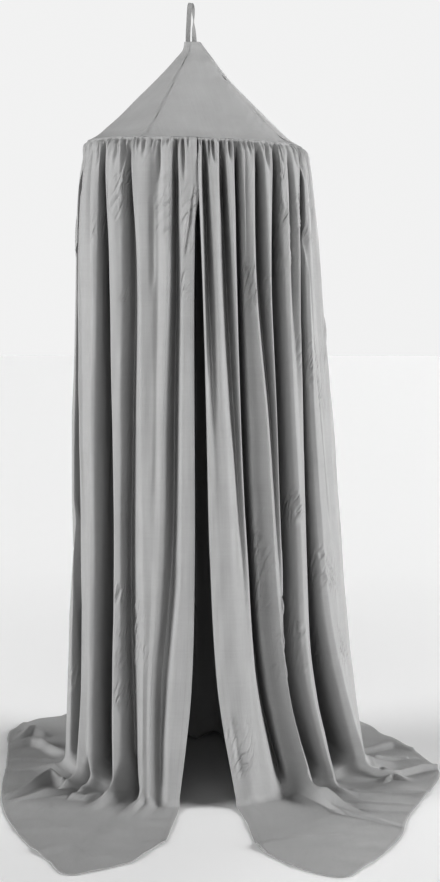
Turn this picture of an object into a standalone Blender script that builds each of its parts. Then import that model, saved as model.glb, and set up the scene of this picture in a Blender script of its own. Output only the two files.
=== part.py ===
"""Hanging net canopy: a tape loop, a crown of four gores, a hoop in its seam and two gathered skirt panels.

Metres, +Z up. Shapes are worked out on the hoop's axis with heights above the floor. The parent empty
then puts the origin where a hook bears in the loop. A bearing is an angle round the axis in degrees:
0 faces the front opening, 90 is the right-hand side and -90 the left.
"""

import math
from collections import namedtuple

import bmesh
import bpy
import numpy as np
from mathutils import Quaternion, Vector

# ---- Driving dimensions -------------------------------------------------------------------------
HOOP_DIAMETER = 0.550
HOOP_HEIGHT = 1.631
HOOP_WIRE = 0.006
HOOP_DROP = 0.0048
HOOP_ROLL = math.radians(1.74)
CROWN_TOP_HEIGHT = 1.893
NECK_HALF_DEPTH = 0.007
CLOTH = 0.0015
CROWN_CLOTH = 0.0012
TAPE_WIDTH = 0.012
TAPE_THICKNESS = 0.0022
HANG_POINT = Vector((-0.010, 0.0, 1.9894))

PIECE_GAP = 0.0003
SEAM_GAP = 0.0006

# ---- Crown --------------------------------------------------------------------------------------
# Each ring's centre lies a little to one side of the axis, because the loop pulls off centre.
CrownRing = namedtuple("CrownRing", "height radius centre")
CROWN_RINGS = (
    CrownRing(1.893, 0.0200, -0.0070),
    CrownRing(1.872, 0.0300, -0.0012),
    CrownRing(1.847, 0.0493, -0.0015),
    CrownRing(1.795, 0.0922, -0.0042),
    CrownRing(1.744, 0.1422, -0.0034),
    CrownRing(1.702, 0.1850, -0.0022),
    CrownRing(1.664, 0.2262, -0.0019),
    CrownRing(1.648, 0.2450, -0.0010),
    CrownRing(1.637, 0.2630, 0.0000),
    CrownRing(1.631, 0.2765, 0.0000),
)
GORES = 4
GORE_SEAM_BEARING = -27.0
GORE_COLUMNS = 10
GORE_PUFF = 0.003
NECK_BLEND_HEIGHT = 0.060

# ---- Skirt envelope: how far the fold crests stand from the axis on each side ----------------------
Reach = namedtuple("Reach", "height left front right back")
SKIRT_REACH = (
    Reach(1.631, 0.2768, 0.2768, 0.2768, 0.2768),
    Reach(1.625, 0.280, 0.280, 0.281, 0.280),
    Reach(1.612, 0.286, 0.286, 0.290, 0.286),
    Reach(1.590, 0.289, 0.290, 0.296, 0.290),
    Reach(1.530, 0.299, 0.297, 0.305, 0.297),
    Reach(1.360, 0.309, 0.312, 0.323, 0.306),
    Reach(1.190, 0.313, 0.322, 0.336, 0.310),
    Reach(0.940, 0.320, 0.335, 0.358, 0.314),
    Reach(0.700, 0.323, 0.348, 0.377, 0.315),
    Reach(0.410, 0.331, 0.366, 0.398, 0.312),
    Reach(0.150, 0.338, 0.388, 0.427, 0.306),
    Reach(0.000, 0.344, 0.402, 0.447, 0.303),
)

# ---- Fold lines, one row each: crests are C, troughs T, panel edges E, side crests S ---------------
# Bearings are given at six heights and at the hem. Depths are in millimetres from the envelope at
# four heights. The ridge is how high the fold still stands where it turns onto the floor, and run is
# the share of the way to the hem over which that ridge dies away.
BEARING_HEIGHTS = (1.60, 1.30, 0.95, 0.60, 0.27, 0.00)
DEPTH_HEIGHTS = (1.45, 0.95, 0.45, 0.05)
Fold = namedtuple("Fold", "name b160 b130 b095 b060 b027 foot hem d145 d095 d045 d005 ridge run")
LEFT_FOLDS = (
    Fold("E1", 1.4, 0.3, 0.3, 0.4, -1.1, -5.5, -5.2, 4, 7, 8, 4, 0.004, 0.3),
    Fold("F1", -4.0, -4.2, -4.4, -4.6, -7.0, -9.0, -7.2, -9, -8, -6, -3, 0.004, 0.3),
    Fold("T4", -9.6, -8.6, -9.0, -9.4, -13.2, -12.4, -9.4, -26, -30, -26, -18, 0.002, 0.4),
    Fold("C4", -12.0, -11.4, -12.8, -13.8, -16.4, -15.2, -11.4, 2, 2, 2, 4, 0.014, 0.5),
    Fold("T3b", -19.0, -16.5, -16.5, -16.8, -17.8, -16.8, -13.2, -18, -5, -2, 0, 0.012, 0.5),
    Fold("C3", -28.0, -24.4, -23.1, -20.9, -19.6, -18.6, -15.3, 0, 1, 1, 4, 0.018, 0.5),
    Fold("T3", -34.8, -31.0, -30.4, -30.0, -27.2, -24.2, -18.8, -34, -34, -34, -42, 0.000, 0.4),
    Fold("C2b", -40.0, -35.8, -33.8, -32.2, -30.2, -27.4, -22.2, -4, -5, -5, -5, 0.018, 0.5),
    Fold("C2", -44.5, -41.4, -38.0, -34.9, -33.2, -30.6, -25.6, 2, 0, 0, 8, 0.030, 0.5),
    Fold("T2", -52.0, -49.0, -45.6, -43.0, -41.6, -37.0, -31.0, -44, -48, -50, -50, 0.000, 0.4),
    Fold("C1b", -58.0, -54.4, -53.4, -52.0, -48.4, -45.4, -40.0, 0, 0, 0, 6, 0.026, 0.5),
    Fold("T1b", -65.0, -62.0, -58.8, -55.4, -51.4, -50.2, -45.4, -18, -8, -5, -8, 0.008, 0.4),
    Fold("C1", -71.0, -70.0, -65.0, -59.4, -54.6, -54.6, -51.0, 0, 0, 0, 8, 0.024, 0.5),
    Fold("T1", -79.0, -78.5, -77.0, -75.0, -68.0, -63.0, -63.0, -20, -24, -32, -36, 0.000, 0.4),
    Fold("S1", -90.0, -91.0, -91.0, -90.0, -86.0, -84.0, -88.0, 0, 0, 0, 2, 0.018, 0.5),
)
RIGHT_FOLDS = (
    Fold("E2", 1.95, 4.0, 5.4, 6.5, 9.3, 15.4, 12.0, 2, 3, 4, 2, 0.004, 0.3),
    Fold("T5", 5.4, 6.6, 8.6, 10.2, 12.8, 18.2, 13.6, -30, -2, 1, 2, 0.006, 0.3),
    Fold("C5", 8.8, 10.5, 12.4, 14.9, 17.2, 20.6, 15.6, 1, 3, 4, 6, 0.014, 0.5),
    Fold("T6", 14.2, 15.4, 17.8, 19.8, 22.0, 25.4, 19.0, -28, -13, -6, -5, 0.008, 0.4),
    Fold("C6", 16.9, 18.6, 20.0, 22.0, 24.8, 30.0, 25.0, 0, -5, -12, -14, 0.008, 0.4),
    Fold("T7", 22.0, 22.2, 22.6, 24.6, 28.2, 37.6, 33.0, -36, -38, -46, -50, 0.000, 0.4),
    Fold("M7", 25.6, 25.2, 27.2, 29.4, 33.2, 41.2, 38.0, -14, -20, -22, -20, 0.018, 0.5),
    Fold("C7", 29.5, 28.2, 31.6, 33.1, 36.4, 44.4, 41.2, 1, 2, 4, 10, 0.046, 0.9),
    Fold("T8", 33.2, 32.0, 34.4, 35.3, 37.4, 46.4, 43.8, -38, -11, -4, -6, 0.020, 0.5),
    Fold("C8", 37.8, 36.0, 36.6, 37.0, 38.2, 47.8, 46.0, 0, 0, -8, -14, 0.010, 0.5),
    Fold("T9", 44.2, 40.8, 40.2, 39.6, 39.8, 50.8, 49.0, -36, -40, -38, -40, 0.000, 0.4),
    Fold("C9", 50.0, 47.6, 46.6, 46.8, 47.6, 55.0, 53.6, 0, 0, 2, 8, 0.032, 0.6),
    Fold("T9b", 54.4, 51.8, 49.6, 49.6, 50.4, 58.0, 57.8, -20, -6, -8, -9, 0.018, 0.5),
    Fold("C9b", 58.4, 55.0, 51.8, 51.6, 53.0, 61.4, 62.4, 0, -3, -18, -22, 0.010, 0.5),
    Fold("T10", 66.0, 59.8, 55.8, 54.8, 57.8, 67.6, 71.0, -36, -48, -54, -58, 0.000, 0.4),
    Fold("C10", 71.4, 63.4, 59.9, 61.6, 65.8, 76.0, 82.0, 0, 0, 0, 24, 0.034, 0.6),
    Fold("T11", 77.5, 76.0, 71.5, 72.0, 76.0, 84.0, 90.0, -18, -10, -4, 4, 0.016, 0.4),
    Fold("S2", 88.0, 87.0, 86.0, 85.0, 88.0, 96.0, 101.0, 0, 0, 0, 2, 0.018, 0.5),
)
# The back hangs in plain, slightly uneven folds down to the seam between the panels.
BACK_BEARING = 180.0
BACK_FOLDS_PER_PANEL = 9
BACK_DEPTH = 34.0
BACK_DEPTH_CHANGE = 0.2
BACK_SWAY = 1.8
BACK_SEAM_DEPTH = 12.0
BACK_RIDGE = 0.016

# ---- Hem outline on the floor, seen from above: distance from the axis at each bearing -------------
HemPoint = namedtuple("HemPoint", "bearing distance")
LEFT_HEM = (
    HemPoint(-5.2, 0.664),
    HemPoint(-7.5, 0.746),
    HemPoint(-9.1, 0.830),
    HemPoint(-10.5, 0.858),
    HemPoint(-13.6, 0.914),
    HemPoint(-15.3, 0.943),
    HemPoint(-21.4, 0.866),
    HemPoint(-27.9, 0.788),
    HemPoint(-35.5, 0.710),
    HemPoint(-44.5, 0.640),
    HemPoint(-57.2, 0.568),
    HemPoint(-72.0, 0.518),
    HemPoint(-95.0, 0.508),
    HemPoint(-112.7, 0.566),
    HemPoint(-128.0, 0.672),
    HemPoint(-142.0, 0.716),
    HemPoint(-155.0, 0.640),
    HemPoint(-168.0, 0.580),
    HemPoint(-180.0, 0.560),
)
RIGHT_HEM = (
    HemPoint(12.0, 0.735),
    HemPoint(12.9, 0.790),
    HemPoint(15.0, 0.880),
    HemPoint(17.2, 0.946),
    HemPoint(19.0, 0.978),
    HemPoint(23.8, 0.934),
    HemPoint(30.0, 0.866),
    HemPoint(38.4, 0.782),
    HemPoint(44.2, 0.722),
    HemPoint(56.4, 0.658),
    HemPoint(70.0, 0.638),
    HemPoint(85.7, 0.640),
    HemPoint(97.0, 0.622),
    HemPoint(110.4, 0.624),
    HemPoint(125.6, 0.640),
    HemPoint(138.6, 0.700),
    HemPoint(155.0, 0.640),
    HemPoint(168.0, 0.580),
    HemPoint(180.0, 0.560),
)

# ---- Soft ridges that cross the cloth on the floor, from one end to the other ----------------------
FloorRidge = namedtuple("FloorRidge", "x0 y0 x1 y1 height half_width")
FLOOR_RIDGES = (
    FloorRidge(-0.520, 0.230, -0.380, 0.130, 0.020, 0.040),
    FloorRidge(-0.465, -0.290, -0.395, -0.050, 0.026, 0.045),
    FloorRidge(0.490, -0.090, 0.620, 0.060, 0.024, 0.040),
    FloorRidge(-0.500, 0.470, -0.430, 0.340, 0.018, 0.045),
)

# ---- Grid of the skirt ---------------------------------------------------------------------------
STEPS_PER_FOLD = 2
HANG_STEPS = (0.0, 0.004, 0.011, 0.024, 0.045, 0.075, 0.115, 0.165, 0.225, 0.29, 0.36, 0.43, 0.50,
              0.57, 0.64, 0.71, 0.78, 0.85, 0.92, 1.0)
BEND_ANGLES = (30.0, 60.0, 90.0)
FLOOR_STEPS = (0.14, 0.30, 0.47, 0.65, 0.83, 1.0)
BEND_RADIUS = 0.024
BEND_PER_RIDGE = 0.8
GATHER_DEPTH = 0.007
GATHER_FADE = 0.120
FOLD_ONSET = 0.090
FOLD_START_SHARE = 0.3
RIDGE_FADE = 1.5
HOOP_COVER = 0.012
TROUGH_SHARPNESS = 0.7
LEAST_BEARING_STEP = 0.5

# ---- Finish --------------------------------------------------------------------------------------
CLOTH_GREY = (0.36, 0.36, 0.36)
CLOTH_ROUGHNESS = 0.85
HOOP_COLOUR = (0.75, 0.75, 0.73)
HOOP_ROUGHNESS = 0.4


def cosine_step(value):
    """Goes smoothly from 0 to 1 as the value goes from 0 to 1."""
    return 0.5 - 0.5 * np.cos(np.pi * np.clip(value, 0.0, 1.0))


def smooth_curve(at, stations, values):
    """Reads a smooth curve through values (stations in rows, or a plain list) at the places asked."""
    order = np.argsort(stations)
    x = np.asarray(stations, float)[order]
    y = np.asarray(values, float)[order]
    slopes = np.gradient(y, x, axis=0)
    at = np.clip(at, x[0], x[-1])
    i = np.clip(np.searchsorted(x, at) - 1, 0, len(x) - 2)
    width = x[i + 1] - x[i]
    t = (at - x[i]) / width
    if y.ndim == 1:
        y0, y1, m0, m1 = y[i], y[i + 1], slopes[i], slopes[i + 1]
    else:
        columns = np.arange(y.shape[1])
        y0, y1, m0, m1 = y[i, columns], y[i + 1, columns], slopes[i, columns], slopes[i + 1, columns]
    return (
        y0 * (1 + 2 * t) * (1 - t) ** 2
        + m0 * width * t * (1 - t) ** 2
        + y1 * t * t * (3 - 2 * t)
        + m1 * width * t * t * (t - 1)
    )


def across_folds(values, bearings, steps):
    """Fills in the columns between fold lines: crests round, troughs narrower, slopes running through."""
    gaps = np.diff(bearings)
    gaps = np.copysign(np.maximum(np.abs(gaps), LEAST_BEARING_STEP), gaps)
    secants = np.diff(values) / gaps
    before = np.concatenate([secants[:1], secants])
    after = np.concatenate([secants, secants[-1:]])
    same_way = before * after > 0
    mean = np.where(same_way, 2 * before * after / np.where(same_way, before + after, 1.0), 0.0)
    lower = np.concatenate([[values[1]], values[:-1]])
    upper = np.concatenate([values[1:], [values[-2]]])
    trough = (~same_way) & (values < np.minimum(lower, upper))
    leaving = np.where(trough, after * TROUGH_SHARPNESS, mean)
    arriving = np.where(trough, before * TROUGH_SHARPNESS, mean)
    t = np.arange(steps)[:, None] / steps
    filled = (
        values[:-1] * (1 + 2 * t) * (1 - t) ** 2
        + leaving[:-1] * gaps * t * (1 - t) ** 2
        + values[1:] * t * t * (3 - 2 * t)
        + arriving[1:] * gaps * t * t * (t - 1)
    )
    return np.append(filled.T.ravel(), values[-1])


def even_columns(values, steps):
    """Fills in the columns between fold lines on straight lines."""
    lines = np.arange(len(values))
    return np.interp(np.arange((len(values) - 1) * steps + 1) / steps, lines, values)


def envelope(bearing, height):
    """How far the fold crests stand from the axis."""
    turn = np.radians(bearing)
    heights = [row.height for row in SKIRT_REACH]
    left, front, right, back = (
        smooth_curve(height, heights, [getattr(row, side) for row in SKIRT_REACH])
        for side in ("left", "front", "right", "back")
    )
    side = np.where(np.sin(turn) > 0, right, left)
    face = np.where(np.cos(turn) > 0, front, back)
    return side * np.sin(turn) ** 2 + face * np.cos(turn) ** 2


def seam_height(bearing):
    """Height of the hoop's seam, which hangs a little lower on the right."""
    return HOOP_HEIGHT - math.tan(HOOP_ROLL) * 0.5 * HOOP_DIAMETER * np.sin(np.radians(bearing))


def back_folds(last):
    """Plain folds from the side crest round to the back seam."""
    seam = math.copysign(BACK_BEARING, last.foot)
    side = (last.b160, last.b130, last.b095, last.b060, last.b027, last.foot, last.hem)
    rows = []
    for k in range(1, BACK_FOLDS_PER_PANEL + 1):
        at_seam = k == BACK_FOLDS_PER_PANEL
        is_trough = k % 2 == 1
        share = k / BACK_FOLDS_PER_PANEL
        sway = 0.0 if at_seam else BACK_SWAY * math.sin(2.4 * k)
        bearings = [start + (seam - start) * share + sway for start in side]
        depth = -BACK_DEPTH * (1 + BACK_DEPTH_CHANGE * math.cos(1.7 * k)) if is_trough else 0.0
        if at_seam:
            depth = -BACK_SEAM_DEPTH
        depths = (depth, depth, 1.1 * depth, 1.2 * depth)
        rows.append(Fold(f"B{k}", *bearings, *depths, ridge=0.0 if is_trough else BACK_RIDGE, run=0.5))
    return tuple(rows)


def floor_relief(x, y):
    """Height of the soft ridges that cross the cloth on the floor."""
    total = np.zeros_like(x)
    for ridge in FLOOR_RIDGES:
        run = np.array((ridge.x1 - ridge.x0, ridge.y1 - ridge.y0))
        share = ((x - ridge.x0) * run[0] + (y - ridge.y0) * run[1]) / (run @ run)
        share = np.clip(share, 0.0, 1.0)
        away = np.hypot(x - ridge.x0 - share * run[0], y - ridge.y0 - share * run[1])
        total = np.maximum(total, ridge.height * (1 - cosine_step(away / ridge.half_width)))
    return total


def skirt_grid(folds, hem):
    """Points of one panel's outer face, as rows from the seam to the hem and columns round the hoop."""
    steps = STEPS_PER_FOLD
    bearings_at = np.array([(f.b160, f.b130, f.b095, f.b060, f.b027, f.foot) for f in folds]).T
    depths_at = np.array([(f.d145, f.d095, f.d045, f.d005) for f in folds]).T / 1000
    foot = bearings_at[-1]
    hem_bearing = even_columns([f.hem for f in folds], steps)
    ridge = np.maximum(across_folds(np.array([f.ridge for f in folds]), foot, steps), 0.0)
    run = even_columns([f.run for f in folds], steps)
    bend = BEND_RADIUS + BEND_PER_RIDGE * ridge
    bend_top = CLOTH + ridge + bend
    between = np.arange(len(hem_bearing)) % steps != 0
    hem_order = sorted(hem)
    hem_distance = smooth_curve(hem_bearing, [p.bearing for p in hem_order], [p.distance for p in hem_order])

    def wall(height, drop):
        """Bearing and distance of the hanging cloth at a height per column."""
        line_height = height[::steps]
        line_bearing = smooth_curve(line_height, BEARING_HEIGHTS, bearings_at)
        line_depth = smooth_curve(line_height, DEPTH_HEIGHTS, depths_at)
        bearing = even_columns(line_bearing, steps)
        onset = cosine_step(FOLD_START_SHARE + (1 - FOLD_START_SHARE) * drop / FOLD_ONSET)
        depth = across_folds(line_depth, line_bearing, steps) * onset
        gathers = GATHER_DEPTH * between * np.clip(1 - drop / GATHER_FADE, 0.0, 1.0)
        reach = envelope(bearing, HOOP_HEIGHT * height / (height + drop))
        over_hoop = SKIRT_REACH[0].front - np.maximum(drop - HOOP_COVER, 0.0)
        return bearing, np.maximum(reach + depth - gathers, over_hoop)

    rows = []
    top_bearing = even_columns(bearings_at[0], steps)
    seam = seam_height(top_bearing) - PIECE_GAP - CROWN_CLOTH
    for share in HANG_STEPS:
        height = seam + (bend_top - seam) * share
        bearing, distance = wall(height, seam - height)
        rows.append((bearing, distance, height))
    low_bearing, low_distance, _ = rows[-1]

    def outward(distance, height_above_floor):
        """One row on the way from the foot of the wall to the hem."""
        share = (distance - low_distance) / (hem_distance - low_distance)
        bearing = low_bearing + (hem_bearing - low_bearing) * cosine_step(share)
        rows.append((bearing, distance, height_above_floor))

    for angle in np.radians(BEND_ANGLES):
        outward(low_distance + bend * (1 - math.cos(angle)), CLOTH + ridge + bend * (1 - math.sin(angle)))
    flat_start = low_distance + bend
    for share in FLOOR_STEPS:
        fade = np.clip(1 - share / run, 0.0, 1.0) ** RIDGE_FADE
        outward(flat_start + (hem_distance - flat_start) * share, CLOTH + ridge * fade)

    grid = np.empty((len(rows), len(hem_bearing), 3))
    for line, (bearing, distance, height) in zip(grid, rows):
        turn = np.radians(bearing)
        line[:, 0] = distance * np.sin(turn)
        line[:, 1] = -distance * np.cos(turn)
        line[:, 2] = height
    floor_rows = grid[-len(FLOOR_STEPS):]
    floor_rows[:, :, 2] += floor_relief(floor_rows[:, :, 0], floor_rows[:, :, 1])
    grid[:, -1, 0] += math.copysign(0.5 * SEAM_GAP, folds[-1].foot)
    return grid


def gore_grid(start):
    """Points of one gore's outer face, rows from the neck to the seam, columns from seam to seam."""
    across = np.linspace(0.0, 1.0, GORE_COLUMNS + 1)
    grid = np.empty((len(CROWN_RINGS), GORE_COLUMNS + 1, 3))
    for row, ring in zip(grid, CROWN_RINGS):
        down = (CROWN_TOP_HEIGHT - ring.height) / (CROWN_TOP_HEIGHT - HOOP_HEIGHT)
        margin = math.degrees(0.5 * SEAM_GAP / ring.radius)
        bearing = start + margin + across * (360.0 / GORES - 2 * margin)
        turn = np.radians(bearing)
        puff = GORE_PUFF * np.sin(np.pi * across) * math.sin(math.pi * down)
        flatten = cosine_step((ring.height - CROWN_TOP_HEIGHT + NECK_BLEND_HEIGHT) / NECK_BLEND_HEIGHT)
        depth_radius = ring.radius + (NECK_HALF_DEPTH - ring.radius) * flatten
        row[:, 0] = (ring.radius + puff) * np.sin(turn)
        row[:, 1] = -(depth_radius + puff) * np.cos(turn)
        row[:, 2] = ring.height - math.tan(HOOP_ROLL) * row[:, 0] * down
        row[:, 0] += ring.centre
    return grid


def sheet_object(name, grid, thickness, inward):
    """A cloth sheet as an open grid of faces with Solidify on its inner side."""
    mesh = bpy.data.meshes.new(name)
    bm = bmesh.new()
    verts = [[bm.verts.new(point) for point in row] for row in grid.tolist()]
    for upper, lower in zip(verts, verts[1:]):
        for k in range(len(upper) - 1):
            corners = (upper[k], lower[k], lower[k + 1], upper[k + 1])
            bm.faces.new(corners if inward else corners[::-1])
    bm.to_mesh(mesh)
    bm.free()
    mesh.shade_smooth()
    sheet = bpy.data.objects.new(name, mesh)
    solidify = sheet.modifiers.new("Thickness", "SOLIDIFY")
    solidify.thickness = thickness
    solidify.offset = -1.0
    return sheet


def make_skirt(name, folds, hem, left):
    """One gathered skirt panel, from the front edge round to the back seam."""
    rows = folds + back_folds(folds[-1])
    return sheet_object(name, skirt_grid(rows, hem), CLOTH, inward=not left)


def make_gore(name, start):
    """One gore of the crown."""
    return sheet_object(name, gore_grid(start), CROWN_CLOTH, inward=True)


def make_hoop():
    """The round wire that the seam is drawn out on, just inside the skirt's top edge."""
    outer = SKIRT_REACH[0].front - CLOTH - 2 * PIECE_GAP
    bpy.ops.mesh.primitive_torus_add(
        major_radius=outer - 0.5 * HOOP_WIRE,
        minor_radius=0.5 * HOOP_WIRE,
        major_segments=56,
        minor_segments=8,
        location=(0, 0, HOOP_HEIGHT - HOOP_DROP),
        rotation=(0, HOOP_ROLL, 0),
    )
    hoop = bpy.context.object
    hoop.name = "hoop"
    hoop.data.shade_smooth()
    return hoop


LoopPoint = namedtuple("LoopPoint", "x y z twist")
LOOP_PATH = (
    LoopPoint(-0.0182, 0.0000, 1.880, 0),
    LoopPoint(-0.0182, -0.0010, 1.895, 0),
    LoopPoint(-0.0174, -0.0080, 1.917, 0),
    LoopPoint(-0.0160, -0.0120, 1.940, 0),
    LoopPoint(-0.0148, -0.0120, 1.963, 0),
    LoopPoint(-0.0135, -0.0085, 1.9815, 0),
    LoopPoint(-0.0105, 0.0000, 1.9905, 8),
    LoopPoint(-0.0065, 0.0085, 1.9815, 28),
    LoopPoint(-0.0040, 0.0120, 1.963, 64),
    LoopPoint(-0.0034, 0.0120, 1.940, 104),
    LoopPoint(-0.0028, 0.0080, 1.917, 148),
    LoopPoint(-0.0018, 0.0010, 1.895, 180),
    LoopPoint(-0.0018, 0.0000, 1.880, 180),
)
LOOP_STEPS = 30


def make_loop():
    """The hanging tape: up one side, over the hook, and down the other with half a turn in it."""
    stations = np.linspace(0.0, 1.0, len(LOOP_PATH))
    at = np.linspace(0.0, 1.0, LOOP_STEPS + 1)
    path = np.array([smooth_curve(at, stations, [p[axis] for p in LOOP_PATH]) for axis in range(3)]).T
    twist = smooth_curve(at, stations, [p.twist for p in LOOP_PATH])
    tangents = np.gradient(path, axis=0)
    grid = np.empty((len(at), 2, 3))
    for row, point, tangent, angle in zip(grid, path, tangents, twist):
        along = Vector(tangent).normalized()
        side = Vector((1, 0, 0))
        side = (side - along * side.dot(along)).normalized()
        side = Quaternion(along, math.radians(angle)) @ side
        for k, reach in enumerate((-0.5, 0.5)):
            row[k] = Vector(point) + side * TAPE_WIDTH * reach
    loop = sheet_object("hanging_loop", grid, TAPE_THICKNESS, inward=True)
    loop.modifiers["Thickness"].offset = 0.0
    return loop


def make_material(name, colour, roughness):
    """A plain cloth finish."""
    material = bpy.data.materials.new(name)
    material.use_nodes = True
    shader = material.node_tree.nodes["Principled BSDF"]
    shader.inputs["Base Color"].default_value = (*colour, 1.0)
    shader.inputs["Roughness"].default_value = roughness
    shader.inputs["Metallic"].default_value = 0.0
    return material


def main():
    """Clears the scene and builds each piece under one empty at the hanging point."""
    for leftover in list(bpy.data.objects):
        bpy.data.objects.remove(leftover)
    pieces = bpy.data.collections.new("net_canopy")
    bpy.context.scene.collection.children.link(pieces)
    root = bpy.data.objects.new("canopy_root", None)
    root.location = -HANG_POINT
    pieces.objects.link(root)

    made = [make_loop()]
    for k in range(GORES):
        made.append(make_gore(f"crown_gore_{k + 1}", GORE_SEAM_BEARING + k * 360.0 / GORES))
    made.append(make_hoop())
    made.append(make_skirt("skirt_left", LEFT_FOLDS, LEFT_HEM, left=True))
    made.append(make_skirt("skirt_right", RIGHT_FOLDS, RIGHT_HEM, left=False))

    for piece in made:
        finish = (HOOP_COLOUR, HOOP_ROUGHNESS) if piece.name == "hoop" else (CLOTH_GREY, CLOTH_ROUGHNESS)
        piece.data.materials.append(make_material(f"{piece.name}_finish", *finish))
        for owner in list(piece.users_collection):
            owner.objects.unlink(piece)
        pieces.objects.link(piece)
        piece.parent = root


main()
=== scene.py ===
"""Looks of the hanging canopy as an add-on: gathered skirt, gored crown, hoop, tape loop and stage.

Metres, +Z up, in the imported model's frame. Cloth is shaped on the hoop's axis with heights above the floor,
as the solids are, and moved to the hanging point in its last step. A bearing is an angle round the axis in
degrees: 0 faces the front opening, 90 is the right-hand side and -90 the left.
"""

import math
from collections import namedtuple

import bmesh
import bpy
import numpy as np
from bpy.props import FloatProperty, FloatVectorProperty, PointerProperty
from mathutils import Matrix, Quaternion, Vector


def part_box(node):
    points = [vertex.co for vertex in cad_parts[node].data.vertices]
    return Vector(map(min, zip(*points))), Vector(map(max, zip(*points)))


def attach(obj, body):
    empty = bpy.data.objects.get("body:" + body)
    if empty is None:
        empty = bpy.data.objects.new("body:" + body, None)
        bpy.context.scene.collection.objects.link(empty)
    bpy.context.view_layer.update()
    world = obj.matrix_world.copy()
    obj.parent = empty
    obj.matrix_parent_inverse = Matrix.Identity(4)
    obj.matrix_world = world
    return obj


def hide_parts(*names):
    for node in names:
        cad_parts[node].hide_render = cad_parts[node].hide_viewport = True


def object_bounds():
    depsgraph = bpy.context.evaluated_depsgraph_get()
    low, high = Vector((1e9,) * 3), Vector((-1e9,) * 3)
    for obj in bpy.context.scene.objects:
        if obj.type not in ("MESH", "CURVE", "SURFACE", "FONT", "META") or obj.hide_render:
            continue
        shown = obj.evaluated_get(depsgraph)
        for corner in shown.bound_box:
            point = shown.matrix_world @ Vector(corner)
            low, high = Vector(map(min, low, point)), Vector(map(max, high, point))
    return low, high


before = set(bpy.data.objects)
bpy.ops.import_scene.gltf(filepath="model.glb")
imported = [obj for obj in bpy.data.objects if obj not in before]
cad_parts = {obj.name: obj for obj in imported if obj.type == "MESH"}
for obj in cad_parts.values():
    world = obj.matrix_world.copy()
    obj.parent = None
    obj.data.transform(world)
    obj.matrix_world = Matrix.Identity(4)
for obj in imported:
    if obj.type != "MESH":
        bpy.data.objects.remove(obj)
CAD_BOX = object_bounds()
HOOP_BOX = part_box("hoop")

bl_info = {
    "name": "Hanging net canopy",
    "version": (1, 0, 0),
    "blender": (4, 5, 0),
    "location": "3D View > Sidebar > Canopy",
    "description": "Builds the cloth, tape, hoop and studio stage of a hanging bed canopy",
    "category": "Object",
}


def table(kind, *rows):
    """Rows with named columns, made from plain ones."""
    return tuple(kind(*row) for row in rows)


def read(rows, names):
    """The named columns of a table as arrays."""
    return np.array([[getattr(row, name) for row in rows] for name in names.split()])


# ---- Sizes shared with the solids ------------------------------------------------------------------
HANG_POINT = Vector((-0.5 * (HOOP_BOX[0].x + HOOP_BOX[1].x), 0.0, -CAD_BOX[0].z))
HOOP_DIAMETER = 0.550
HOOP_HEIGHT = 1.631
HOOP_ROLL = math.radians(1.74)
SEAM_RADIUS = 0.2768
SEAM_DROP = 0.0015
CROWN_TOP_HEIGHT = 1.893
NECK_HALF_DEPTH = 0.007

CrownRing = namedtuple("CrownRing", "height radius centre")
CROWN_RINGS = table(
    CrownRing,
    (1.893, 0.0200, -0.0070), (1.872, 0.0300, -0.0012), (1.847, 0.0493, -0.0015), (1.795, 0.0922, -0.0042),
    (1.744, 0.1422, -0.0034), (1.702, 0.1850, -0.0022), (1.664, 0.2262, -0.0019), (1.648, 0.2450, -0.0010),
    (1.637, 0.2630, 0.0000), (1.631, 0.2765, 0.0000),
)
GORES = 4
GORE_SEAM_BEARING = -27.0
GORE_PUFF = 0.003
NECK_BLEND_HEIGHT = 0.060

# How far the fold crests stand from the axis on each side.
Reach = namedtuple("Reach", "height left front right back")
SKIRT_REACH = table(
    Reach,
    (1.631, 0.2768, 0.2768, 0.2768, 0.2768), (1.625, 0.280, 0.280, 0.281, 0.280),
    (1.612, 0.286, 0.286, 0.290, 0.286), (1.590, 0.289, 0.290, 0.296, 0.290),
    (1.530, 0.299, 0.297, 0.305, 0.297), (1.360, 0.309, 0.312, 0.323, 0.306),
    (1.190, 0.313, 0.322, 0.336, 0.310), (0.940, 0.320, 0.335, 0.358, 0.314),
    (0.700, 0.323, 0.348, 0.377, 0.315), (0.410, 0.331, 0.366, 0.398, 0.312),
    (0.150, 0.338, 0.388, 0.427, 0.306), (0.000, 0.344, 0.402, 0.447, 0.303),
)

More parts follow.
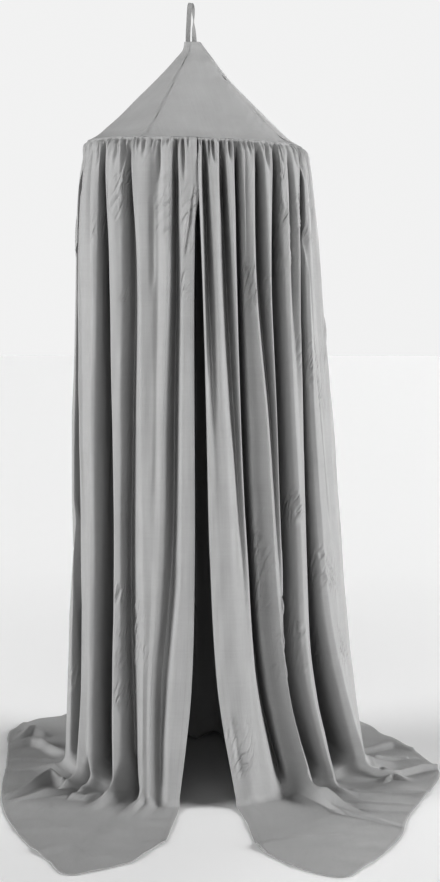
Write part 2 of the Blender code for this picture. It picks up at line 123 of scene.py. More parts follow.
# Fold lines: crests are C, troughs T, panel edges E, side crests S. Bearings stand at six heights and at
# the hem, depths in millimetres from the envelope at four heights. The ridge is how high the fold stands
# where it turns onto the floor, run the share of the way to the hem over which it dies away, and sharp how
# much of a crease the fold line makes: 0 is round and 1 is a straight-sided edge.
BEARING_HEIGHTS = (1.60, 1.30, 0.95, 0.60, 0.27, 0.00)
DEPTH_HEIGHTS = (1.45, 0.95, 0.45, 0.05)
Fold = namedtuple("Fold", "name b160 b130 b095 b060 b027 foot hem d145 d095 d045 d005 ridge run sharp")
LEFT_FOLDS = table(
    Fold,
    ("E1", 1.4, 0.3, 0.3, 0.4, -1.1, -5.5, -5.2, -3, -7, -9, -7, 0.004, 0.3, 0.0),
    ("F1", -4.0, -4.2, -4.4, -4.6, -7.0, -9.0, -7.2, 1, 2, 2, 2, 0.004, 0.3, 0.2),
    ("T4", -9.6, -8.6, -9.0, -9.4, -13.2, -12.4, -9.4, -26, -30, -26, -18, 0.002, 0.4, 0.9),
    ("C4", -12.0, -11.4, -12.8, -13.8, -16.4, -15.2, -11.4, 2, 2, 2, 4, 0.012, 0.3, 0.4),
    ("T3b", -19.0, -16.5, -16.5, -16.8, -17.8, -16.8, -13.2, -18, -5, -2, 0, 0.010, 0.3, 0.2),
    ("C3", -28.0, -24.4, -23.1, -20.9, -19.6, -18.6, -15.3, 0, 1, 1, 4, 0.020, 0.22, 0.9),
    ("T3", -34.8, -31.0, -30.4, -30.0, -27.2, -24.2, -18.8, -34, -34, -34, -42, 0.000, 0.4, 0.7),
    ("C2b", -40.0, -35.8, -33.8, -32.2, -30.2, -27.4, -22.2, -4, -5, -5, -5, 0.014, 0.2, 0.2),
    ("C2", -44.5, -41.4, -38.0, -34.9, -33.2, -30.6, -25.6, 2, 0, 0, 8, 0.032, 0.16, 0.9),
    ("T2", -52.0, -49.0, -45.6, -43.0, -41.6, -37.0, -31.0, -44, -48, -50, -50, 0.000, 0.4, 0.9),
    ("C1b", -58.0, -54.4, -53.4, -52.0, -48.4, -45.4, -40.0, 0, 0, 0, 6, 0.024, 0.16, 0.3),
    ("T1b", -65.0, -62.0, -58.8, -55.4, -51.4, -50.2, -45.4, -18, -8, -5, -8, 0.006, 0.2, 0.6),
    ("C1", -71.0, -70.0, -65.0, -59.4, -54.6, -54.6, -51.0, 0, 0, 0, 8, 0.028, 0.16, 0.6),
    ("T1", -79.0, -78.5, -77.0, -75.0, -68.0, -63.0, -63.0, -24, -28, -36, -40, 0.000, 0.4, 0.7),
    ("S1", -90.0, -91.0, -91.0, -90.0, -86.0, -84.0, -88.0, 0, 0, 0, 2, 0.018, 0.5, 0.0),
)
RIGHT_FOLDS = table(
    Fold,
    ("E2", 1.95, 4.0, 5.4, 6.5, 9.3, 15.4, 12.0, 2, 3, 4, 2, 0.004, 0.3, 0.0),
    ("T5", 5.4, 6.6, 8.6, 10.2, 12.8, 18.2, 13.6, -30, -2, 1, 2, 0.006, 0.3, 0.6),
    ("C5", 8.8, 10.5, 12.4, 14.9, 17.2, 20.6, 15.6, 1, 3, 4, 6, 0.012, 0.3, 0.3),
    ("T6", 14.2, 15.4, 17.8, 19.8, 22.0, 25.4, 19.0, -28, -13, -6, -5, 0.008, 0.4, 0.8),
    ("C6", 16.9, 18.6, 20.0, 22.0, 24.8, 30.0, 25.0, 0, -5, -12, -14, 0.008, 0.4, 0.5),
    ("T7", 22.0, 22.2, 22.6, 24.6, 28.2, 37.6, 33.0, -36, -38, -46, -50, 0.000, 0.4, 0.7),
    ("M7", 25.6, 25.2, 27.2, 29.4, 33.2, 41.2, 38.0, -14, -28, -38, -38, 0.014, 0.3, 0.2),
    ("C7", 29.5, 28.2, 31.6, 33.1, 36.4, 44.4, 41.2, 1, 2, 4, 10, 0.040, 0.8, 0.9),
    ("T8", 33.2, 32.0, 34.4, 35.3, 37.4, 46.4, 43.8, -38, -11, -4, -6, 0.018, 0.5, 0.8),
    ("C8", 37.8, 36.0, 36.6, 37.0, 38.2, 47.8, 46.0, 0, 0, -8, -14, 0.010, 0.5, 0.4),
    ("T9", 44.2, 40.8, 40.2, 39.6, 39.8, 50.8, 49.0, -36, -40, -38, -40, 0.000, 0.4, 0.9),
    ("C9", 50.0, 47.6, 46.6, 46.8, 47.6, 55.0, 53.6, 0, 0, 2, 8, 0.016, 0.25, 0.7),
    ("T9b", 54.4, 51.8, 49.6, 49.6, 50.4, 58.0, 57.8, -20, -6, -8, -9, 0.010, 0.25, 0.6),
    ("C9b", 58.4, 55.0, 51.8, 51.6, 53.0, 61.4, 62.4, 0, -3, -18, -22, 0.006, 0.25, 0.3),
    ("T10", 66.0, 59.8, 55.8, 54.8, 57.8, 67.6, 71.0, -36, -50, -62, -70, 0.000, 0.4, 0.9),
    ("C10", 71.4, 63.4, 59.9, 61.6, 65.8, 76.0, 82.0, 0, 0, 0, 24, 0.030, 0.35, 0.8),
    ("T11", 77.5, 76.0, 71.5, 72.0, 76.0, 84.0, 90.0, -18, -10, -4, 4, 0.016, 0.4, 0.5),
    ("S2", 88.0, 87.0, 86.0, 85.0, 88.0, 96.0, 101.0, 0, 0, 0, 2, 0.018, 0.5, 0.0),
)
# How far the deep troughs are drawn straight back from the front, in millimetres at the depth heights.
LEFT_DRAWN_BACK = {
    "T4": (40, 40, 20, 10),
    "T3": (40, 40, 40, 40),
    "T2": (90, 105, 115, 110),
    "T1": (60, 90, 120, 120),
}
RIGHT_DRAWN_BACK = {
    "T5": (60, 10, 0, 0),
    "T6": (80, 30, 0, 0),
    "T7": (80, 80, 90, 90),
    "T8": (90, 30, 0, 0),
    "T9": (90, 90, 80, 80),
    "T9b": (30, 0, 0, 0),
    "T10": (100, 130, 165, 175),
}
DRAWN_BACK_ONSET = 0.10
TROUGH_START = 0.25
SEAM_TROUGH_START = 0.68
SEAM_TROUGH_FLAT = 0.06
SEAM_PINCH_FADE = 0.26
SOFTENING = 6
DRAWN_BACK_FOOT = (0.02, 0.06)

BACK_BEARING = 180.0
BACK_FOLDS_PER_PANEL = 9
BACK_DEPTH = 46.0
BACK_DEPTH_CHANGE = 0.35
BACK_DEPTH_TURN = 1.7
BACK_DEEPENING = (1.0, 1.0, 1.1, 1.2)
BACK_SWAY = 3.4
BACK_SWAY_TURN = 2.4
BACK_SEAM_DEPTH = 12.0
BACK_RIDGE = 0.016
BACK_RUN = 0.5
BACK_SHARPNESS = 0.5

# Hem outline on the floor, seen from above: distance from the axis at each bearing.
HemPoint = namedtuple("HemPoint", "bearing distance")
LEFT_HEM = table(
    HemPoint,
    (-5.2, 0.664), (-7.5, 0.746), (-9.1, 0.830), (-10.5, 0.858), (-13.6, 0.914), (-15.3, 0.943),
    (-21.4, 0.866), (-27.9, 0.788), (-35.5, 0.710), (-44.5, 0.640), (-57.2, 0.568), (-72.0, 0.518),
    (-95.0, 0.508), (-112.7, 0.566), (-128.0, 0.672), (-142.0, 0.716), (-155.0, 0.640), (-168.0, 0.580),
    (-180.0, 0.560),
)
RIGHT_HEM = table(
    HemPoint,
    (12.0, 0.735), (12.9, 0.790), (15.0, 0.880), (17.2, 0.946), (19.0, 0.978), (23.8, 0.934),
    (30.0, 0.866), (38.4, 0.782), (44.2, 0.722), (56.4, 0.658), (70.0, 0.638), (85.7, 0.640),
    (97.0, 0.622), (110.4, 0.624), (125.6, 0.640), (138.6, 0.700), (155.0, 0.640), (168.0, 0.580),
    (180.0, 0.560),
)

BEND_RADIUS = 0.015
BEND_PER_RIDGE = 0.6
FOLD_ONSET = 0.120
FOLD_START_SHARE = 0.3
RIDGE_FADE = 1.5
HOOP_COVER = 0.0055

# Just below the seam the left front edge reaches a little further, and the opening stays closed there.
EdgeNudge = namedtuple("EdgeNudge", "height spread turn fade")
EDGE_NUDGE = EdgeNudge(1.505, 0.050, 1.7, 4.0)
OVER_HOOP_RADIUS = 0.2758
HOOP_COVER_SLOPE = 4.0
LEAST_BEARING_STEP = 0.5

# ---- Fine cloth -------------------------------------------------------------------------------------
# Low uneven waves: the shortest and longest in metres, and how far, in radians, they stray from upright.
Waves = namedtuple("Waves", "shortest longest lean")
WALL_WAVES = Waves(0.03, 0.14, 0.22)
WALL_WAVE_START = 0.15
FLOOR_WAVES = Waves(0.07, 0.30, math.pi)
FLOOR_WAVE_HEIGHT = 0.0022
FLOOR_WAVE_DIP = 0.001
FLOOR_LIFT = 0.0024
TURN_GAP = 0.0018
TURN_ROLL = 0.4
TURNED_COLUMNS = 4
TURNED_ROWS = 3
HEM_SEARCH_COLUMNS = 8
LEAST_LIFT = 0.0003

# Row spacing down the wall, by distance below the seam. It is closer where the cloth is gathered or
# creased.
RowZone = namedtuple("RowZone", "drop spacing")
ROW_ZONES = table(
    RowZone,
    (0.00, 0.0024), (0.12, 0.0090), (0.42, 0.0130), (0.95, 0.0130), (1.00, 0.0070), (1.36, 0.0070),
    (1.42, 0.0110),
)
WALL_FOOT = 0.06
BEND_STEP = 10.0
FLOOR_ROW_COUNT = 42
FRONT_COLUMN = 0.00195
BACK_COLUMN = 0.0085
WALL_SHARE = 0.35
COLUMN_BUNCHING = 0.25

# Slits that the gathering stitches draw in just under the seam: depth and length in metres, lean in
# degrees per metre of drop. The listed ones face the front, and the rest go round by a rule.
Slit = namedtuple("Slit", "bearing depth length lean")
FRONT_SLITS = table(
    Slit,
    (-66.2, 0.005, 0.050, 10), (-60.5, 0.004, 0.040, -10), (-56.5, 0.006, 0.060, 0),
    (-51.5, 0.010, 0.200, 0), (-46.9, 0.003, 0.030, 20), (-42.3, 0.006, 0.060, 0),
    (-37.5, 0.009, 0.080, 0), (-33.2, 0.010, 0.180, -10), (-29.0, 0.004, 0.030, 20),
    (-25.3, 0.006, 0.040, 0), (-21.3, 0.005, 0.030, -20), (-17.6, 0.010, 0.100, 0),
    (-12.5, 0.004, 0.025, 0), (-8.8, 0.008, 0.140, 0), (-5.5, 0.007, 0.090, 10), (1.8, 0.004, 0.050, 0),
    (4.8, 0.009, 0.150, 5), (7.6, 0.006, 0.060, 0), (9.3, 0.008, 0.050, 10), (13.6, 0.009, 0.160, 6),
    (17.9, 0.007, 0.045, 0), (21.0, 0.009, 0.160, 6), (24.7, 0.003, 0.030, 0), (28.0, 0.004, 0.035, 20),
    (32.2, 0.010, 0.200, 0), (38.0, 0.007, 0.060, 10), (42.6, 0.010, 0.200, 10), (47.8, 0.005, 0.050, 20),
    (52.8, 0.006, 0.070, 0), (58.7, 0.005, 0.045, 20), (67.5, 0.007, 0.070, 0),
)
# The slits that aren't listed: first bearing, step in degrees, and the ranges of depth, length and lean.
SlitRule = namedtuple("SlitRule", "first step depth length lean")
SLIT_RULES = table(
    SlitRule,
    (73.0, 6.2, (0.004, 0.009), (0.03, 0.15), (-15, 15)),
    (3.0, 2.2, (0.002, 0.004), (0.014, 0.045), (-30, 30)),
)
LAST_SLIT = 178.0
SLIT_STEP_CHANGE = (0.6, 1.4)
SLIT_FADE = 1.3
PUFF_DROP = 0.007
SLIT_HALF_WIDTH = 0.0030
SLIT_SPREAD = 0.022
SLIT_DEPTH_SHARE = 4.2
SLIT_RUN = 1.35

# Creases on the hanging cloth, from one end to the other. Relief is in millimetres, less than nothing for
# a trough, half is the half width and bow the sideways curve, both in millimetres too.
Crease = namedtuple("Crease", "bearing0 height0 bearing1 height1 bow relief half")
LEFT_CREASES = table(
    Crease,
    # soft upright folds between the main ones
    (-80.3, 1.565, -63.5, 0.600, 0, -4.0, 6), (-75.3, 1.590, -58.0, 0.630, 0, 3.0, 5),
    (-64.8, 1.585, -57.5, 1.160, 0, -3.0, 5), (-61.3, 1.450, -54.7, 1.370, 4, -2.0, 5),
    (-53.3, 1.483, -50.3, 1.160, 0, 2.0, 6), (-46.5, 1.560, -42.5, 1.300, 0, -2.0, 5),
    (-20.5, 1.500, -19.0, 1.250, 0, -3.5, 7), (-17.0, 1.380, -15.5, 0.700, 0, -1.6, 9),
    (-14.0, 1.570, -13.6, 1.360, 0, 2.0, 6), (-6.0, 0.640, -13.0, 0.120, -6, -4.0, 12),
    # drag lines that run down from the top of the front opening
    (0.9, 1.530, -1.8, 1.400, -3, -2.2, 4), (0.6, 1.500, -1.0, 1.370, 2, 2.0, 4),
    (0.0, 1.477, -3.8, 1.327, -3, -2.4, 5), (-1.6, 1.460, -5.0, 1.340, -2, 1.8, 5),
    (-4.2, 1.301, -6.3, 1.228, 0, -1.6, 4), (-5.1, 1.327, -6.6, 1.262, 0, 1.2, 4),
    # short diagonals on the second panel
    (-34.1, 1.551, -39.2, 1.514, 2, -2.2, 4), (-35.2, 1.530, -41.4, 1.480, 2, 2.2, 4),
    (-36.7, 1.500, -41.9, 1.458, 0, -2.0, 4), (-36.8, 1.482, -41.8, 1.436, -2, 1.8, 4),
    (-30.0, 1.250, -33.4, 1.226, 1, -1.6, 3), (-29.6, 1.240, -32.6, 1.218, 1, 1.4, 3),
    # the crumpled patch low on the left
    (-22.7, 0.512, -31.5, 0.460, 3, 2.6, 5), (-22.4, 0.496, -29.4, 0.432, 4, -3.0, 5),
    (-23.2, 0.470, -32.1, 0.386, 5, 3.0, 5), (-23.6, 0.452, -30.0, 0.372, 4, -2.8, 5),
    (-24.2, 0.439, -29.4, 0.345, 4, 2.8, 5), (-25.4, 0.405, -31.8, 0.338, 3, -2.6, 5),
    (-25.0, 0.380, -29.8, 0.312, 2, 2.2, 5), (-30.9, 0.540, -34.0, 0.484, 0, -2.0, 5),
    (-21.4, 0.410, -26.4, 0.334, 3, 1.8, 5), (-32.8, 0.250, -25.0, 0.268, 4, 1.8, 4),
    (-32.1, 0.240, -26.4, 0.252, 3, -1.6, 4), (-31.2, 0.262, -25.6, 0.280, 3, -1.4, 4),
)
RIGHT_CREASES = table(
    Crease,
    # turned-in strip and soft upright folds
    (5.0, 1.340, 6.6, 1.020, 0, -5.0, 4), (13.0, 1.500, 14.4, 1.250, 0, 1.8, 5),
    (20.4, 1.180, 21.4, 0.760, 0, -4.0, 4), (16.0, 0.980, 19.0, 0.520, 0, 2.0, 8),
    (25.7, 0.750, 27.4, 0.520, 0, -2.2, 5), (28.1, 0.700, 29.8, 0.480, 0, 2.0, 5),
    (26.4, 0.640, 28.8, 0.440, 0, -1.8, 4), (14.0, 0.240, 18.0, 0.060, 0, -3.0, 10),
    # diagonals on the upper panels
    (24.3, 1.340, 28.6, 1.268, -2, -2.6, 4), (25.5, 1.332, 30.0, 1.240, -2, 2.4, 4),
    (25.6, 1.300, 29.4, 1.200, -2, -2.2, 4), (32.7, 1.301, 36.3, 1.243, 0, -2.2, 4),
    (33.0, 1.280, 35.8, 1.215, 0, 2.0, 4), (42.9, 1.576, 48.9, 1.526, -2, -2.0, 4),
    (43.0, 1.468, 47.6, 1.425, 0, -2.0, 4), (44.0, 1.500, 50.0, 1.440, -2, 1.8, 4),
    (49.0, 1.436, 55.8, 1.384, 0, -2.6, 4), (48.8, 1.420, 55.0, 1.366, 0, 2.4, 4),
    (48.7, 1.408, 54.3, 1.347, 0, -2.4, 4), (48.2, 1.364, 53.2, 1.316, 0, 2.2, 4),
    (47.8, 1.340, 52.4, 1.280, 0, -2.2, 4), (57.1, 1.510, 61.7, 1.447, 0, -2.4, 4),
    (57.5, 1.446, 64.1, 1.390, 0, 2.4, 4), (58.0, 1.424, 63.0, 1.372, 0, -2.2, 4),
    (62.0, 1.570, 65.5, 1.120, 3, -5.0, 6), (65.0, 1.140, 69.0, 0.640, -3, -4.5, 7),
    (71.5, 1.580, 74.0, 1.240, 0, -4.0, 5), (66.0, 1.488, 82.0, 1.440, -3, -2.6, 5),
    (64.3, 1.408, 78.0, 1.366, -3, 2.4, 5), (54.5, 1.173, 56.4, 1.060, 0, -2.4, 4),
    (55.6, 1.150, 57.6, 1.040, 0, 2.2, 4), (58.2, 1.122, 59.8, 1.005, 0, -2.0, 4),
    (64.0, 1.160, 70.0, 1.020, -4, -2.4, 6), (66.0, 1.060, 74.0, 0.930, -4, 2.4, 6),
    (42.8, 0.780, 48.1, 0.665, -3, -2.0, 5), (45.3, 0.766, 49.5, 0.689, -2, 1.8, 5),
    # the crumpled patches low on the right
    (34.9, 0.512, 44.0, 0.468, 3, -2.6, 5), (36.2, 0.500, 39.3, 0.424, 0, 2.6, 5),
    (37.3, 0.470, 41.9, 0.394, -2, -2.8, 5), (34.8, 0.432, 39.6, 0.358, -2, 2.6, 5),
    (35.9, 0.400, 41.9, 0.318, -3, -3.0, 5), (35.1, 0.366, 38.9, 0.296, -2, 2.4, 5),
    (39.5, 0.400, 43.5, 0.295, -2, -2.2, 5), (41.8, 0.442, 44.8, 0.392, 0, 2.0, 5),
    (58.0, 0.620, 66.0, 0.560, -3, -2.4, 5), (60.0, 0.606, 69.0, 0.540, -3, 2.4, 5),
    (62.0, 0.580, 72.0, 0.520, -3, -2.4, 5), (60.0, 0.560, 67.0, 0.498, -2, 2.0, 5),
    (64.0, 0.540, 74.0, 0.490, -2, -2.0, 5), (66.0, 0.410, 76.0, 0.350, -3, -2.0, 5),
    (68.0, 0.385, 79.0, 0.310, -3, 2.0, 5), (66.5, 0.360, 75.0, 0.300, -2, -1.8, 5),
)
# Hollows pressed into fold crests just above the floor. Each starts at its top height and widens down to
# its half width at the floor. All but the bearing is in metres.
Hollow = namedtuple("Hollow", "bearing top half depth")
FOOT_HOLLOWS = table(
    Hollow,
    (-48.2, 0.135, 0.018, 0.085), (-26.6, 0.125, 0.026, 0.085), (-68.0, 0.090, 0.020, 0.030),
    (-104.0, 0.110, 0.022, 0.034), (-131.0, 0.130, 0.026, 0.036), (-160.0, 0.100, 0.022, 0.030),
    (101.0, 0.120, 0.024, 0.034), (133.0, 0.100, 0.020, 0.030), (158.0, 0.130, 0.026, 0.038),
)
HOLLOW_LEAST_WIDTH = 0.08
HOLLOW_RISE = 1.6

# Below this height the weave follows the cloth on the floor, out from this radius.
LYING_HEIGHT = 0.15
LYING_RADIUS = 0.36
STRAIGHT_HEIGHT = 0.95
CREASE_ARC_RADIUS = 0.33
CREASE_TAPER = 4
CREASE_FLANK = 0.8
# Creases that aren't listed, from the side round to the back, as ranges in the units of the rows above.
# Ridges stand only past the bearing that is clear of the outline seen from the front.
SIDE_FOLDS = 18
SIDE_FOLD_BEARING = (82, 176)
SIDE_FOLD_HEIGHT = (0.7, 1.58)
SIDE_FOLD_LENGTH = (0.3, 0.9)
SIDE_FOLD_RELIEF = (-6.0, 4.0)
SIDE_FOLD_LEAN = (-3, 3)
SIDE_FOLD_HALF = (9, 18)
CLEAR_OF_OUTLINE = 106.0
SIDE_CREASES = 30
SIDE_CREASE_BEARING = (80, 176)
SIDE_CREASE_LOWEST = 0.12
SIDE_CREASE_RISE = 1.44
SIDE_CREASE_BUNCHING = 0.8
SIDE_CREASE_ACROSS = (4, 12)
SIDE_CREASE_FALL = (0.05, 0.26)
SIDE_CREASE_BOW = (-3, 3)
SIDE_CREASE_RELIEF = (-2.4, 2.2)
SIDE_CREASE_HALF = (4, 6)
SEAM_RUMPLE = 0.35
SEAM_RUMPLE_FADE = 0.06
RUMPLE_REACH = 0.026
LONGEST_RUMPLE = 0.24

# Folds in the cloth on the floor, as points along each crest with their heights. The half widths are how
# far the cloth slopes down on the left and right of someone who walks from the first point to the last.
FloorFold = namedtuple("FloorFold", "half_left half_right points")
FLOOR_FOLDS = table(
    FloorFold,
    # left-hand side, from the back to the front
    (0.045, 0.030, ((-0.430, 0.330, 0.016), (-0.470, 0.400, 0.018), (-0.505, 0.480, 0.004))),
    (0.026, 0.030, ((-0.430, 0.370, 0.008), (-0.474, 0.380, 0.024), (-0.505, 0.300, 0.004))),
    (0.026, 0.034, ((-0.335, 0.065, 0.004), (-0.386, 0.136, 0.016), (-0.430, 0.213, 0.028),
                     (-0.458, 0.231, 0.025), (-0.535, 0.190, 0.004))),
    (0.014, 0.030, ((-0.490, 0.068, 0.006), (-0.404, 0.066, 0.009), (-0.325, 0.060, 0.005))),
    (0.020, 0.016, ((-0.345, -0.020, 0.006), (-0.420, -0.035, 0.007), (-0.500, -0.040, 0.003))),
    (0.026, 0.034, ((-0.300, -0.205, 0.004), (-0.335, -0.200, 0.018), (-0.372, -0.150, 0.036),
                     (-0.415, -0.231, 0.020), (-0.475, -0.315, 0.003))),
    (0.020, 0.022, ((-0.310, -0.250, 0.006), (-0.368, -0.283, 0.020), (-0.440, -0.330, 0.004))),
    (0.012, 0.022, ((-0.335, -0.292, 0.004), (-0.265, -0.323, 0.014), (-0.215, -0.300, 0.020))),
    # right-hand side, from the front to the back
    (0.050, 0.070, ((0.160, -0.700, 0.008), (0.330, -0.640, 0.007))),
    (0.050, 0.008, ((0.290, -0.320, 0.014), (0.353, -0.440, 0.012), (0.398, -0.480, 0.008),
                     (0.490, -0.560, 0.003))),
    (0.014, 0.020, ((0.370, -0.330, 0.006), (0.560, -0.375, 0.003))),
    (0.012, 0.018, ((0.410, -0.410, 0.005), (0.545, -0.445, 0.003))),
    (0.022, 0.009, ((0.400, -0.245, 0.005), (0.575, -0.262, 0.004))),
    (0.070, 0.007, ((0.440, -0.100, 0.012), (0.509, -0.135, 0.016), (0.533, -0.105, 0.020),
                     (0.599, -0.045, 0.020), (0.640, -0.022, 0.012))),
    (0.022, 0.016, ((0.450, 0.030, 0.010), (0.560, 0.070, 0.006))),
    (0.026, 0.020, ((0.440, 0.140, 0.014), (0.540, 0.215, 0.018), (0.600, 0.180, 0.003))),
    # behind
    (0.030, 0.020, ((0.330, 0.400, 0.014), (0.385, 0.520, 0.020), (0.350, 0.630, 0.003))),
    (0.022, 0.028, ((0.120, 0.380, 0.012), (0.150, 0.470, 0.015), (0.070, 0.570, 0.003))),
    (0.024, 0.024, ((-0.110, 0.400, 0.010), (-0.190, 0.500, 0.018), (-0.140, 0.600, 0.003))),
    (0.020, 0.030, ((-0.300, 0.420, 0.012), (-0.330, 0.560, 0.016), (-0.400, 0.590, 0.003))),
)
RIDGE_SHARPNESS = 1.7
FLOOR_FOLD_RISE = 8
FLOOR_WAVE_RISE = 3

LoopPoint = namedtuple("LoopPoint", "x y z twist")
LOOP_PATH = table(
    LoopPoint,
    (-0.0182, 0.0000, 1.880, 0), (-0.0182, -0.0010, 1.895, 0), (-0.0174, -0.0080, 1.917, 0),
    (-0.0160, -0.0120, 1.940, 0), (-0.0148, -0.0120, 1.963, 0), (-0.0135, -0.0085, 1.9815, 0),
    (-0.0105, 0.0000, 1.9905, 8), (-0.0065, 0.0085, 1.9815, 28), (-0.0040, 0.0120, 1.963, 64),
    (-0.0034, 0.0120, 1.940, 104), (-0.0028, 0.0080, 1.917, 148), (-0.0018, 0.0010, 1.895, 180),
    (-0.0018, 0.0000, 1.880, 180),
)
LOOP_STEPS = 150
ROUND_EDGE_POINTS = 9


# ---- Settings ---------------------------------------------------------------------------------------
class CanopyClothSettings(bpy.types.PropertyGroup):
    """The cloth that the crown and skirt are cut from."""

    colour: FloatVectorProperty(
        name="Colour", description="Colour of the cotton", subtype="COLOR", size=3, min=0.0, max=1.0,
        default=(0.365, 0.365, 0.365))
    roughness: FloatProperty(
        name="Roughness", description="Roughness of the cotton", default=0.72, min=0.0, max=1.0,
        subtype="FACTOR")
    sheen: FloatProperty(
        name="Sheen", description="Soft shine at grazing angles", default=0.08, min=0.0, max=1.0,
        subtype="FACTOR")
    thread_pitch: FloatProperty(
        name="Thread pitch", description="Distance from thread to thread", default=0.0009, precision=4,
        unit="LENGTH")
    thread_relief: FloatProperty(
        name="Thread relief", description="How far the threads stand out", default=0.00012, precision=5,
        unit="LENGTH")
    unevenness: FloatProperty(
        name="Unevenness", description="Height of the soft waves in the hanging cloth", default=0.0011,
        precision=4, unit="LENGTH")


class CanopySkirtSettings(bpy.types.PropertyGroup):
    """The gathered skirt."""

    puff: FloatProperty(
        name="Puff", description="How far the gathers swell just under the seam", default=0.0062,
        precision=4, unit="LENGTH")
    hem_width: FloatProperty(
        name="Hem", description="Width of the turned hem", default=0.014, precision=3, unit="LENGTH")
    crease_strength: FloatProperty(
        name="Creases", description="Share of the listed relief that each crease takes", default=1.7,
        min=0.0, max=3.0, subtype="FACTOR")
    panel_width: FloatProperty(
        name="Panel width", description="Width that each panel was cut to", default=1.62, unit="LENGTH")
    panel_length: FloatProperty(
        name="Panel length", description="Length that each panel was cut to", default=2.10, unit="LENGTH")


class CanopyCrownSettings(bpy.types.PropertyGroup):
    """The crown of four gores."""

    seam_depth: FloatProperty(
        name="Seam depth", description="How far each gore dips at its seams", default=0.0004, precision=4,
        unit="LENGTH")
    pucker: FloatProperty(
        name="Pucker", description="Height of the small puckers along the lower seam", default=0.0008,
        precision=4, unit="LENGTH")
    lip: FloatProperty(
        name="Lip", description="How far the crown's edge turns down over the seam", default=0.0014,
        precision=4, unit="LENGTH")


class CanopyTapeSettings(bpy.types.PropertyGroup):
    """The tape of the hanging loop."""

    width: FloatProperty(
        name="Width", description="Width of the tape", default=0.012, precision=3, unit="LENGTH")
    thickness: FloatProperty(
        name="Thickness", description="Thickness of the tape", default=0.0022, precision=4, unit="LENGTH")
    colour: FloatVectorProperty(
        name="Colour", description="Colour of the tape", subtype="COLOR", size=3, min=0.0, max=1.0,
        default=(0.31, 0.31, 0.31))


class CanopyStageSettings(bpy.types.PropertyGroup):
    """The studio floor, lights and camera."""

    floor_colour: FloatVectorProperty(
        name="Floor", description="Colour of the studio floor", subtype="COLOR", size=3, min=0.0, max=1.0,
        default=(0.86, 0.86, 0.86))
    left_power: FloatProperty(
        name="Left light", description="Strength of the low light at the left", default=3.5, min=0.0)
    front_power: FloatProperty(
        name="Front light", description="Strength of the wide light in front", default=1.05, min=0.0)
    right_power: FloatProperty(
        name="Right light", description="Strength of the light at the right-hand side", default=3.8,
        min=0.0)
    back_power: FloatProperty(
        name="Back light", description="Strength of the weak light behind", default=1.8, min=0.0)
    sky_strength: FloatProperty(
        name="Surround", description="Strength of the even light from all round", default=0.02, min=0.0)
    lens: FloatProperty(
        name="Lens", description="Focal length on a 24 mm tall sensor", default=50.45,
        subtype="DISTANCE_CAMERA")


class CanopySettings(bpy.types.PropertyGroup):
    """Every size and colour of the canopy's looks."""

    cloth: PointerProperty(type=CanopyClothSettings)
    skirt: PointerProperty(type=CanopySkirtSettings)
    crown: PointerProperty(type=CanopyCrownSettings)
    tape: PointerProperty(type=CanopyTapeSettings)
    stage: PointerProperty(type=CanopyStageSettings)


# ---- Finishes ---------------------------------------------------------------------------------------
# Noise on the cloth, in steps per metre: slubs over and along a thread, and the rest across and down.
SLUBS_OVER, SLUBS_ALONG = 420, 7
MOTTLE_SCALE = 9.0
RUMPLE_SCALE = (55, 13)
WRINKLE_SCALE = (46, 12)
WRINKLE_SLANT = (0.87, 0.5)
WRINKLE_SHARPNESS = 7
WRINKLE_RELIEF = 0.0035
RUMPLE_RELIEF = 0.0006
STITCH_INSET = 0.0115
STITCH_HALF_WIDTH = 0.00045
STITCH_PITCH = 0.0028
STITCH_RELIEF = 0.0004
TWILL_PITCH = 0.0016
ROUGHNESS_SPREAD = (-0.06, 0.08)
# The plain share of the cloth's colour, and what each pattern adds or takes away.
Shade = namedtuple("Shade", "plain warp weft mottle weave rumple stitches")
SHADE = Shade(0.86, 0.16, 0.12, 0.20, 0.03, 0.05, 0.10)


class Field:
    """A shader socket that can stand in sums and products."""

    def __init__(self, finish, socket):
        self.finish = finish
        self.socket = socket

    def math(self, operation, *others):
        """This value and others through one Math operation."""
        return self.finish.node("ShaderNodeMath", {"operation": operation}, self, *others)

    def __add__(self, other):
        return self.math("ADD", other)

    __radd__ = __add__

    def __mul__(self, other):
        return self.math("MULTIPLY", other)

    __rmul__ = __mul__

    def __sub__(self, other):
        return self.math("SUBTRACT", other)

    def __rsub__(self, other):
        return self.finish.node("ShaderNodeMath", {"operation": "SUBTRACT"}, other, self)


